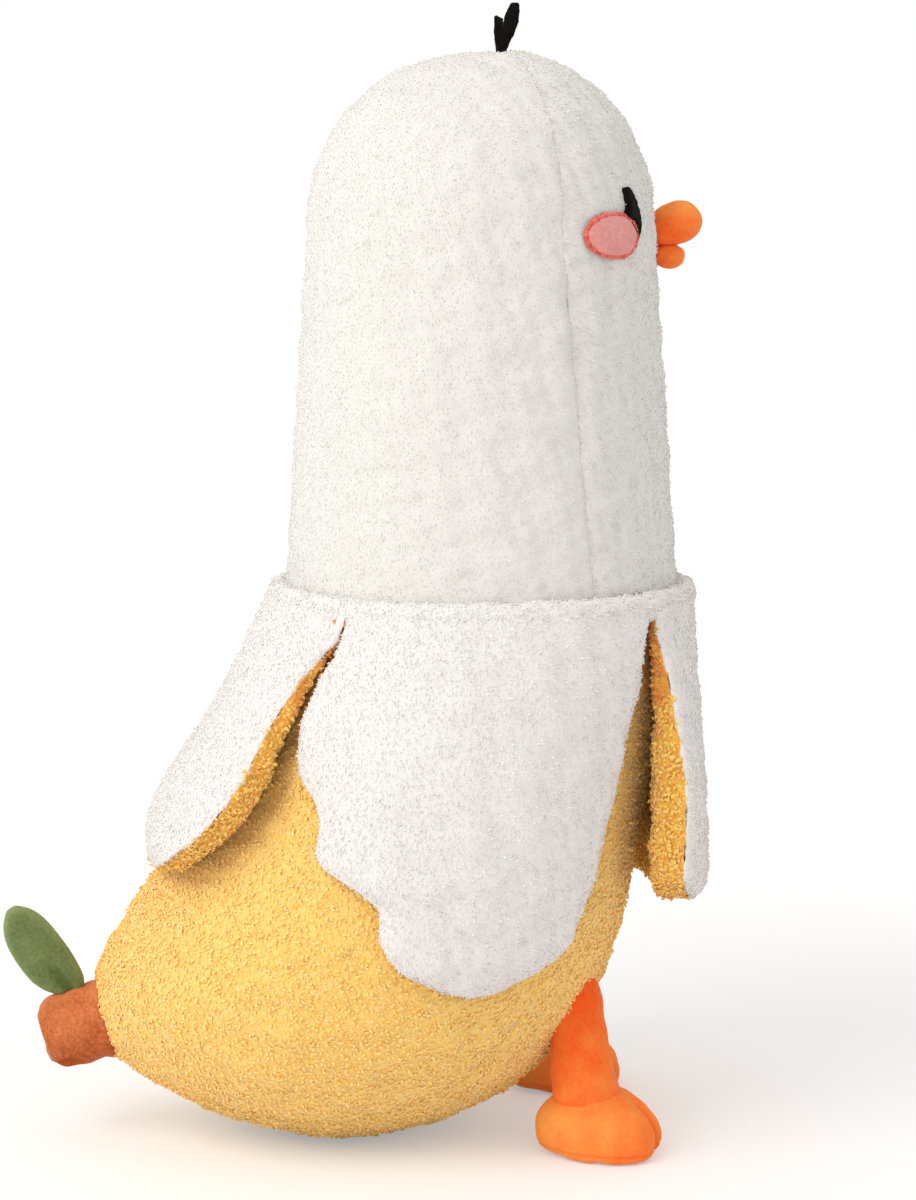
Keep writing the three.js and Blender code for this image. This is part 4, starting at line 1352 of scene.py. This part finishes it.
        Stuffing(1.0 * MM, 0.5 * MM).fill(piece, lambda at: rim_distance(at) < 1.4 * MM)
        points = coordinates(piece)
        # A painted highlight along the sewn rim, lighter towards the tip, and painted shade in the fold at
        # the foot.
        climb = (points - root) @ along / self.leaf_length
        aside = (points - root) @ across / (2.5 * MM)
        middle_line = np.exp(-(aside**2)) * np.clip(1 - climb / 0.4, 0, 1)
        light = np.exp(-((rim_distance(points) / (2.2 * MM)) ** 2))
        store(piece, "nap", 0.3 + 0.5 * light + 0.2 * climb - 0.7 * middle_line)
        nodes = ["leaf_right_ply", "leaf_left_ply", "leaf_wadding"]
        self.room.dress(piece, "leaf", "leaf_velvet", nodes, 0.5)

    def build(self) -> None:
        """Builds the stem and the leaf."""
        self._stem()
        self._leaf()


@dataclass
class HairTuft:
    """The two-lobed felt tuft on the crown."""

    room: Workroom
    height: float = 21 * MM
    thickness: float = 2 * MM
    root: float = 3 * MM
    lean: float = 0.8 * MM
    outline: Rows = (
        (-0.1, 0), (-0.2, 0.2), (-0.31, 0.46), (-0.37, 0.76), (-0.35, 0.93), (-0.28, 0.965), (-0.2, 0.94),
        (-0.1, 0.77), (-0.025, 0.56), (-0.01, 0.62), (0.07, 0.67), (0.13, 0.68), (0.165, 0.58),
        (0.165, 0.33), (0.12, 0),
    )
    layers: Rows = ((-1.0, 0.82), (-0.8, 0.95), (-0.4, 1.0), (0.4, 1.0), (0.8, 0.95), (1.0, 0.82))

    def build(self) -> None:
        """Builds the tuft as a soft-edged slice of felt."""
        crown = TRUNK.head(np.array(2.0), np.array(0.0), 0)
        curve = catmull(self.outline, np.linspace(0, 1, 90)) * self.height
        curve = np.vstack([curve, [[curve[-1][0], -self.root], [curve[0][0], -self.root]]])
        lean = np.clip(curve[:, 1] / self.height, 0, 1) ** 2 * self.lean
        centre = curve.mean(0)
        rings = []
        for offset, scale in self.layers:
            shrunk = centre + (curve - centre) * (1 - (1 - scale) * 0.5)
            x = offset * self.thickness / 2 + lean
            rings.append(np.column_stack([crown[0] + x, crown[1] + shrunk[:, 0], crown[2] + shrunk[:, 1]]))
        piece = loft_mesh("hair_tuft_felt", rings)
        ruffle(piece, 0.12 * MM, 3 * MM, 73)
        self.room.dress(piece, "tuft", "black_felt", ["hair_tuft"])


# ---- Face ----


@dataclass
class Face:
    """The felt eyes and the stitched plush cheeks.

    An eye's rows are the height from its middle, then its front and its rear edge in millimetres;
    across is measured rearwards along the head.
    """

    room: Workroom
    eye_turn: float = 40.5 * DEG
    eye_place: float = 0.7
    eye_thickness: float = 1.5 * MM
    eye_rows: Rows = (
        (11.2, 3.6, 4.6), (10.2, 1.6, 5), (9, 0.2, 4.8), (6, -1.8, 4.3), (3.1, -3.2, 3.6), (0.5, -4.4, 4.2),
        (-2.2, -5.2, 6), (-5, -5.2, 6), (-7.2, -4.8, 6), (-9.5, -4.2, 5), (-11.2, -3.4, -2),
    )
    cheek_width: float = 34 * MM
    cheek_height: float = 19.4 * MM
    cheek_turn: float = 50.5 * DEG
    cheek_place: float = 0.662
    cheek_dome: float = 1.5 * MM
    stitch_width: float = 1.7 * MM
    stitch_count: int = 130
    bed: float = 0.3 * MM
    sunk: float = 1.6 * MM

    def _face(
        self, place: float, turn: float, side: Side, across: np.ndarray, up: np.ndarray, offset: np.ndarray
    ) -> np.ndarray:
        """Points of the face, across and up from the middle of a feature."""
        level = TRUNK.level(place * TRUNK.head_height + np.asarray(up))
        swing = np.asarray(across) / (TRUNK.crown_depth / 2)
        return TRUNK.head(level, side.value * (turn + swing), -np.asarray(offset))

    def _unrolled(self, points: np.ndarray, place: float, turn: float) -> tuple[np.ndarray, np.ndarray]:
        """How far across and up places of the head are from the middle of a feature."""
        centre = TRUNK.section(0.0)[0]
        x = np.abs(points[:, 0]) * TRUNK.crown_depth / TRUNK.crown_width
        swing = np.arctan2(x, centre[0] - points[:, 1]) - turn
        return swing * TRUNK.crown_depth / 2, points[:, 2] - centre[1] - place * TRUNK.head_height

    def clear(self, points: np.ndarray) -> np.ndarray:
        """How much pile grows at some places of the head: none under the eyes and the cheeks."""
        across, up = self._unrolled(points, self.eye_place, self.eye_turn)
        rows = np.array(self.eye_rows[::-1]) * MM
        front = np.interp(up, rows[:, 0], rows[:, 1])
        rear = np.interp(up, rows[:, 0], rows[:, 2])
        tall = np.minimum(up - rows[0, 0], rows[-1, 0] - up)
        inside = np.minimum(np.minimum(across - front, rear - across), tall)
        keep = np.clip(-inside / (0.8 * MM) + 0.3, 0, 1)
        across, up = self._unrolled(points, self.cheek_place, self.cheek_turn)
        reach = np.hypot(across / (self.cheek_width / 2), up / (self.cheek_height / 2))
        return np.minimum(keep, np.clip((reach - 0.97) / 0.07, 0, 1))

    def _eye(self, side: Side) -> None:
        """Builds an eye: a felt crescent laid in the pile, with the cheek over its lower rear."""
        rows = catmull(self.eye_rows, np.linspace(0, 1, 48)) * MM
        column = np.sin(np.linspace(-1, 1, 16) * HALF_TURN / 2)[None, :]
        front, rear = rows[:, 1][:, None], rows[:, 2][:, None]
        across = front + (rear - front) * (column + 1) / 2
        up = np.broadcast_to(rows[:, 0][:, None], across.shape)
        ends = np.linspace(0, 1, 48)[:, None]
        room = np.minimum((1 - np.abs(column)) * (rear - front) / 2, np.minimum(ends, 1 - ends) * 22 * MM)
        rim = np.sqrt(1 - (1 - np.clip(room / (0.8 * MM), 0, 1)) ** 2)
        offset = self.bed + self.eye_thickness * (0.25 + 0.75 * rim)
        offset = offset - self._under_cheek(across, up) * 0.9 * MM
        place = (self.eye_place, self.eye_turn, side, across, up)
        piece = shell_mesh(
            f"{side.label}_eye_felt", self._face(*place, offset), self._face(*place, -self.sunk + 0 * offset)
        )
        ruffle(piece, 0.08 * MM, 3 * MM, 88)
        self.room.dress(piece, "trunk", "black_felt", [f"{side.label}_eye"])

    def _under_cheek(self, across: np.ndarray, up: np.ndarray) -> np.ndarray:
        """1 where a place of the eye lies under the cheek, and 0 elsewhere."""
        shift = (self.cheek_turn - self.eye_turn) * TRUNK.crown_depth / 2
        lift = (self.eye_place - self.cheek_place) * TRUNK.head_height
        x = (across - shift) / (self.cheek_width / 2)
        y = (up + lift) / (self.cheek_height / 2)
        return np.clip((1.06 - np.hypot(x, y)) / 0.08, 0, 1)

    def _cheek(self, side: Side) -> None:
        """Builds a cheek: a plush patch inside a run of satin stitches."""
        turn = circle(96)[None, :]
        half_width = self.cheek_width / 2 - self.stitch_width / 2
        half_height = self.cheek_height / 2 - self.stitch_width / 2
        reaches = np.linspace(0.999, 0.02, 18)
        layers = [(1.0, -self.sunk)]
        layers += [(r, self.bed + self.cheek_dome * math.sqrt(1 - r**4)) for r in reaches]
        rings = []
        for reach, offset in layers:
            across, up = reach * half_width * np.cos(turn), reach * half_height * np.sin(turn)
            rings.append(self._face(self.cheek_place, self.cheek_turn, side, across, up, offset + 0 * up)[0])
        piece = loft_mesh(f"{side.label}_cheek_plush", rings)
        ruffle(piece, 0.12 * MM, 5 * MM, 81)
        self.room.dress(piece, "trunk", "pink_plush", [f"{side.label}_cheek_patch"])
        self._stitches(side, half_width, half_height)

    def _stitches(self, side: Side, half_width: float, half_height: float) -> None:
        """Builds the run of short slanted stitches round a cheek."""
        turn = circle(144)
        across, up = half_width * np.cos(turn), half_height * np.sin(turn)
        place = (self.cheek_place, self.cheek_turn, side, across, up)
        line = self._face(*place, self.bed + 0 * up)
        out = self._face(*place, self.bed + 1 * MM + 0 * up) - line
        out /= np.linalg.norm(out, axis=1)[:, None]
        mesh = bpy.data.meshes.new(f"{side.label}_cheek_satin_stitches")
        count = len(line)
        mesh.from_pydata([tuple(p) for p in line], [(i, (i + 1) % count) for i in range(count)], [])
        layer = mesh.attributes.new("out", "FLOAT_VECTOR", "POINT")
        layer.data.foreach_set("vector", np.asarray(out, np.float32).ravel())
        piece = bpy.data.objects.new(mesh.name, mesh)
        bpy.context.scene.collection.objects.link(piece)
        values = {
            "Count": self.stitch_count, "Length": self.stitch_width * 1.35, "Slant": 0.35,
            "Seed": 90 + side.value, "Finish": self.room.finishes["red_thread"],
        }
        self.room.stitches.run(piece, values)
        declare(piece, "trunk", [f"{side.label}_cheek_stitching"])

    def build(self) -> None:
        """Builds the eyes and the cheeks."""
        for side in Side:
            self._eye(side)
            self._cheek(side)


@dataclass(frozen=True)
class BeakLobe:
    """The sizes of one stuffed lobe of the beak."""

    name: str
    place: float
    tilt: float
    length: float
    width: float
    height: float


@dataclass
class Beak:
    """Two stuffed velvet lobes sewn to the face."""

    room: Workroom
    lobes: tuple[BeakLobe, ...] = (
        BeakLobe("upper", 0.668, 20 * DEG, 21.5 * MM, 31 * MM, 19.6 * MM),
        BeakLobe("lower", 0.625, -8 * DEG, 13 * MM, 20 * MM, 12 * MM),
    )
    profile: Rows = (
        (-0.16, 0.55), (0, 0.74), (0.13, 0.85), (0.25, 0.93), (0.4, 0.99), (0.55, 1.0), (0.7, 0.94),
        (0.82, 0.82), (0.91, 0.64), (0.97, 0.42), (1.0, 0.15),
    )

    def _lobe(self, lobe: BeakLobe) -> None:
        """Builds one lobe, filled out between the face and the seam round its edge."""
        root = TRUNK.head(TRUNK.level(lobe.place * TRUNK.head_height), np.array(0.0), -0.2 * MM)
        axis = np.array([0, -math.cos(lobe.tilt), math.sin(lobe.tilt)])
        up = np.array([0, math.sin(lobe.tilt), math.cos(lobe.tilt)])
        across = np.array([1.0, 0, 0])
        turn = circle(64)
        rings = []
        for along, size in catmull(self.profile, np.linspace(0, 1, 44)):
            half_width = (lobe.width / 2 - 0.4 * MM) * size * np.cos(turn)
            half_height = (lobe.height / 2 - 0.4 * MM) * size * np.sin(turn)
            centre = root + axis * along * (lobe.length - 0.4 * MM)
            rings.append(ring(centre, across, up, half_width, half_height))
        piece = loft_mesh(f"beak_{lobe.name}_velvet", rings)

        def sewn(at: np.ndarray) -> np.ndarray:
            """1 at the face and along the seam round the lobe's edge, and 0 elsewhere."""
            return ((at - root) @ axis < 0.5 * MM) | (np.abs((at - root) @ up) < 0.7 * MM)

        Stuffing(1.2 * MM, 0.9 * MM).fill(piece, sewn)
        ruffle(piece, 0.15 * MM, 7 * MM, 75)
        points = coordinates(piece)
        # Painted light on top and towards the tip, painted shade underneath and at the root by the face.
        reach, rise = (points - root) @ axis / lobe.length, (points - root) @ up / lobe.height
        store(piece, "nap", np.clip(0.15 + 0.55 * reach + 0.5 * rise, 0, 1))
        nodes = [f"beak_{lobe.name}_cover", f"beak_{lobe.name}_stuffing"]
        self.room.dress(piece, "trunk", "orange_velvet", nodes, 0.8)

    def build(self) -> None:
        """Builds both lobes."""
        for lobe in self.lobes:
            self._lobe(lobe)


# ---- Legs and feet ----


@dataclass
class LegAndFoot:
    """A velvet leg sewn under the belly, with a stuffed foot of three soft toes."""

    room: Workroom
    side: Side
    hip_station: float = 0.47
    hip_turn: float = 26 * DEG
    hip_sink: float = 6 * MM
    leg_radius: float = 13 * MM
    leg_profile: Rows = (
        (-0.22, 0.45), (-0.15, 0.85), (0, 1.02), (0.2, 1), (0.4, 1.02), (0.6, 1.06), (0.8, 1.14), (0.95, 1.2),
        (1.05, 1.18), (1.15, 1), (1.22, 0.6), (1.25, 0.3),
    )
    ankle_height: float = 26 * MM
    ankle_forward: float = 4 * MM
    ankle_out: float = 12 * MM
    foot_length: float = 55 * MM
    foot_width: float = 54 * MM
    foot_height: float = 28 * MM
    foot_heel: float = 22.5 * MM
    foot_splay: float = 8 * DEG
    heel_lift: float = 3 * MM
    outline: tuple[float, ...] = (1.03, 1.0, 1.03, 1.07, 1, 0.92, 0.86, 0.82, 0.8, 0.82, 0.88, 0.96, 1)
    foot_layers: Rows = (
        (0, 0.3), (0, 0.8), (0.01, 0.93), (0.08, 0.99), (0.2, 1.02), (0.35, 1.02), (0.5, 1.0), (0.64, 0.95),
        (0.77, 0.85), (0.88, 0.71), (0.95, 0.54), (0.99, 0.36), (1, 0.15),
    )
    notch_turns: tuple[float, ...] = (-0.27, 0.27)
    notch_depth: float = 0.12
    sole_seam: float = 4 * MM
    filling: float = 0.6 * MM

    @property
    def hip(self) -> np.ndarray:
        """The middle of the hip."""
        turn = self.side.value * self.hip_turn
        return TRUNK.body(np.array(self.hip_station), np.array(turn), self.hip_sink)

    @property
    def ankle(self) -> np.ndarray:
        """The middle of the ankle."""
        x, y, _ = self.hip
        return np.array([x - self.side.value * self.ankle_out, y - self.ankle_forward, self.ankle_height])

    def _leg(self) -> None:
        """Builds the leg from inside the body to inside the foot."""
        hip, ankle = self.hip, self.ankle
        length = float(np.linalg.norm(ankle - hip))
        axis = (ankle - hip) / length
        across = np.cross(np.array([0, 1.0, 0]), axis)
        across /= np.linalg.norm(across)
        other = np.cross(axis, across)
        turn = circle(64)
        rings = []
        for along, size in catmull(self.leg_profile, np.linspace(0, 1, 64)):
            radius = self.leg_radius * size - 0.5 * MM
            middle = hip + axis * along * length
            rings.append(ring(middle, across, other, radius * np.cos(turn), radius * np.sin(turn)))
        name = self.side.label
        piece = loft_mesh(f"{name}_leg_velvet", rings)

        def sewn(at: np.ndarray) -> np.ndarray:
            """1 inside the body and inside the foot, and 0 between them."""
            place = (at - hip) @ axis / length
            return (place < 0.1) | (place > 1.0)

        Stuffing(2.0 * MM, 1.0 * MM).fill(piece, sewn)
        ruffle(piece, 0.3 * MM, 14 * MM, 83 + self.side.value)
        points = coordinates(piece)
        # Painted shade: darkest at the hip under the body, lighter towards the foot.
        place = (points - hip) @ axis / length
        store(piece, "nap", np.clip(0.12 + 0.25 * place, 0, 1))
        keep_only(piece, self.room.finishes["orange_velvet"])
        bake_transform(piece)
        register(piece, [f"{name}_leg_sleeve", f"{name}_leg_stuffing"])

    def _toes(self) -> tuple[np.ndarray, np.ndarray, np.ndarray]:
        """The way the toes point, the direction across the foot and the foot's middle on the floor."""
        sign = self.side.value
        toes = np.array([-sign * math.sin(self.foot_splay), -math.cos(self.foot_splay), 0])
        across = np.array([toes[1], -toes[0], 0])
        centre = self.ankle + toes * (self.foot_length / 2 - self.foot_heel)
        return toes, across, centre * np.array([1, 1, 0])

    def _notch(self, turn: np.ndarray) -> np.ndarray:
        """1 between two toes, and 0 away from them."""
        angle = ((turn + HALF_TURN) % FULL_TURN) - HALF_TURN
        return sum(np.exp(-(((angle - place) / 0.1) ** 2)) for place in self.notch_turns)

    def _foot(self) -> None:
        """Builds the foot: a domed upper over a sole, filled out between its seams."""
        toes, across, centre = self._toes()
        turn = circle(128)
        share = np.abs(((turn + HALF_TURN) % FULL_TURN) - HALF_TURN) / HALF_TURN
        outline = catmull(self.outline, share)[:, 0] * (1 - self.notch_depth * self._notch(turn))
        ahead, behind = np.clip(np.cos(turn), 0, 1), np.clip(-np.cos(turn), 0, 1)
        rings = []
        for up, size in catmull(self.foot_layers, np.linspace(0, 1, 56)):
            size = max(size, 0.02)
            reach = size * (1 + (outline - 1) * min(1, size * 1.3))
            height = self.foot_height * up * (1 - 0.2 * ahead * size**2)
            height = height + self.heel_lift * behind**2 * size**2 * (1 - up)
            ahead_of = (self.foot_length / 2 - self.filling) * reach * np.cos(turn)
            beside = (self.foot_width / 2 - self.filling) * reach * np.sin(turn)
            layer = ring(centre, toes, across, ahead_of, beside)
            layer[:, 2] = np.maximum(height, 0.4 * MM)
            rings.append(layer)
        name = self.side.label
        piece = loft_mesh(f"{name}_foot_velvet", rings)

        def polar(at: np.ndarray) -> tuple[np.ndarray, np.ndarray]:
            """The turn of places round the foot, and their distance out in shares of its size."""
            x = (at - centre) @ toes / (self.foot_length / 2)
            y = (at - centre) @ across / (self.foot_width / 2)
            return np.arctan2(y, x), np.hypot(x, y)

        def sewn(at: np.ndarray) -> np.ndarray:
            """1 on the sole, along its seam, between the toes and round the ankle."""
            angle, reach = polar(at)
            seam = np.abs(at[:, 2] - self.sole_seam) < 0.9 * MM
            toe = (self._notch(angle) > 0.6) & (reach > 0.7)
            return seam | toe | (at[:, 2] < 1 * MM) | (reach < 0.35)

        Stuffing(1.6 * MM, 1.3 * MM).fill(piece, sewn)
        ruffle(piece, 0.2 * MM, 11 * MM, 85 + self.side.value)
        points = coordinates(piece)
        angle, reach = polar(points)
        notch = self._notch(angle) * np.clip((reach - 0.55) / 0.3, 0, 1)
        seam = np.exp(-(((points[:, 2] - self.sole_seam) / (0.7 * MM)) ** 2)) * (reach > 0.7)
        points += normals(piece) * (-0.9 * MM * notch - 0.5 * MM * seam)[:, None]
        move_vertices(piece, points)
        grounded(piece)
        # Painted light at the heel, painted shade towards the toes, in the notches between them and along the
        # sole seam.
        heel = np.clip(-np.cos(angle), -0.6, 1)
        store(piece, "nap", np.clip(0.62 + 0.3 * heel * reach - 0.6 * notch - 0.25 * seam, 0, 1))
        nodes = [f"{name}_foot_upper", f"{name}_foot_stuffing", f"{name}_foot_sole"]
        self.room.dress(piece, f"{name}_foot", "orange_velvet", nodes, 0.8)

    def build(self) -> None:
        """Builds the leg and the foot."""
        self._leg()
        self._foot()


# ---- Studio ----


def seen(graph: Graph) -> Term:
    """1 for rays that reach the picture straight, by a mirror or through glass, and 0 for others."""
    rays = graph.node("ShaderNodeLightPath").outputs
    kinds = ("Is Camera Ray", "Is Glossy Ray", "Is Transmission Ray")
    return sum((Term(graph, rays[kind]) for kind in kinds), 0.0).clamped()


@dataclass
class Studio:
    """The floor, the lights and the camera at the photograph's viewing angle."""

    azimuth: float = -97 * DEG
    elevation: float = 7.6 * DEG
    target: tuple[float, float, float] = (0.0, -0.0578, 0.2385)
    distance: float = 1.33206
    focal: float = 3000.0
    frame_height: float = 1200.0
    sensor: float = 36.0
    floor_reach: float = 4.0
    floor_glow: float = 1.25
    glow_share: float = 0.26

    def _camera(self) -> None:
        """Places the camera, in whose frame the long side is the height."""
        back = Vector(
            (
                math.sin(self.azimuth) * math.cos(self.elevation),
                -math.cos(self.azimuth) * math.cos(self.elevation),
                math.sin(self.elevation),
            )
        )
        data = bpy.data.cameras.new("camera")
        data.lens = self.focal / self.frame_height * self.sensor
        data.sensor_width = self.sensor
        camera = bpy.data.objects.new("camera", data)
        camera.location = Vector(self.target) + back * self.distance
        camera.rotation_mode = "QUATERNION"
        camera.rotation_quaternion = (-back).to_track_quat("-Z", "Y")
        bpy.context.scene.collection.objects.link(camera)
        bpy.context.scene.camera = camera

    def _lamp(self) -> None:
        """Adds the key lamp, a soft square one behind the duck on its right."""
        place, aim = Vector((-1.1, 1.5, 1.7)), Vector((0, -0.05, 0.25))
        data = bpy.data.lights.new("key_lamp", "AREA")
        data.shape, data.size, data.energy, data.color = "SQUARE", 1.6, 29, (1, 0.985, 0.96)
        lamp = bpy.data.objects.new("key_lamp", data)
        lamp.location = place
        lamp.rotation_euler = (aim - place).to_track_quat("-Z", "Y").to_euler()
        bpy.context.scene.collection.objects.link(lamp)

    def _world(self) -> None:
        """A white surrounding that lights the object softly and shows white to the camera."""
        world = bpy.data.worlds.new("studio")
        bpy.context.scene.world = world
        world.use_nodes = True
        world.node_tree.nodes.clear()
        graph = Graph(world.node_tree)
        soft = graph.node("ShaderNodeBackground", {}, {0: (1, 0.99, 0.98, 1), 1: 0.8})
        white = graph.node("ShaderNodeBackground", {}, {0: (1, 1, 1, 1), 1: 1.0})
        sockets = {0: seen(graph), 1: soft.outputs[0], 2: white.outputs[0]}
        mixed = graph.node("ShaderNodeMixShader", {}, sockets)
        graph.node("ShaderNodeOutputWorld", {}, {0: mixed.outputs[0]})

    def _floor(self) -> None:
        """A plain pale floor that keeps the object's shadow."""
        corners = np.array([[-1, -1, 0], [1, -1, 0], [1, 1, 0], [-1, 1, 0]])
        floor = new_mesh("studio_floor", corners * self.floor_reach, [[0, 1, 2, 3]])
        dye = Dye("studio_floor")
        matt = dye.node("ShaderNodeBsdfDiffuse", {}, {0: (0.93, 0.925, 0.92, 1)})
        glow = dye.node("ShaderNodeEmission", {}, {0: (1, 1, 1, 1), 1: self.floor_glow})
        place = dye.node("ShaderNodeTexCoord").outputs["Object"]
        far = dye.node("ShaderNodeVectorMath", {"operation": "LENGTH"}, {0: place}).outputs["Value"]
        share = Term(dye, far).ramp(0.3, 1.2) * (1 - self.glow_share) + self.glow_share
        pale = dye.node("ShaderNodeMixShader", {}, {0: share, 1: matt.outputs[0], 2: glow.outputs[0]})
        sockets = {0: seen(dye), 1: matt.outputs[0], 2: pale.outputs[0]}
        mixed = dye.node("ShaderNodeMixShader", {}, sockets)
        dye.node("ShaderNodeOutputMaterial", {}, {0: mixed.outputs[0]})
        keep_only(floor, dye.material)

    def build(self) -> None:
        """Builds the studio."""
        bpy.context.scene.view_settings.view_transform = "Standard"
        self._camera()
        self._world()
        self._floor()
        self._lamp()


def curls() -> list[bpy.types.Object]:
    """The shapes that the pile picks from."""
    shapes = (Curl(1.8, 0.5, 0.4), Curl(2.5, 0.54, -0.5), Curl(3.1, 0.5, 0.8), Curl(2.2, 0.58, -0.3))
    return [shape.piece(f"curl_{i}") for i, shape in enumerate(shapes)]


def stitch() -> bpy.types.Object:
    """One satin stitch: a thread of unit length along x that rises from the cloth and dips again."""
    points, along = [], []
    for share in np.linspace(0, 1, 5):
        rise = 0.34 * math.sin(HALF_TURN * share) - 0.04
        for y, z in ((0.17, 0), (0, 0.12), (-0.17, 0), (0, -0.12)):
            points.append((share - 0.5, y, rise + z))
            along.append(share)
    faces = grid_faces(5, 4, wrap=True)
    faces += [[3, 2, 1, 0], [16, 17, 18, 19]]
    return template("satin_stitch", np.array(points), faces, np.array(along))


def main() -> None:
    """Builds the duck and its studio, and logs each piece."""
    logging.basicConfig(level=logging.INFO, format="%(name)s %(message)s")
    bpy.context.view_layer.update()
    Studio().build()
    wisps, thread = curls(), stitch()
    room = Workroom(wardrobe(), pile_recipe(wisps), stitch_recipe(thread))
    face = Face(room)
    HeadCover(room).build(face.clear)
    BodyCover(room).build()
    Peel(room).build()
    face.build()
    Beak(room).build()
    StemAndLeaf(room).build()
    HairTuft(room).build()
    for side in Side:
        LegAndFoot(room, side).build()
    for shape in (*wisps, thread):
        bpy.data.objects.remove(shape)


if __name__ == "__main__":
    main()
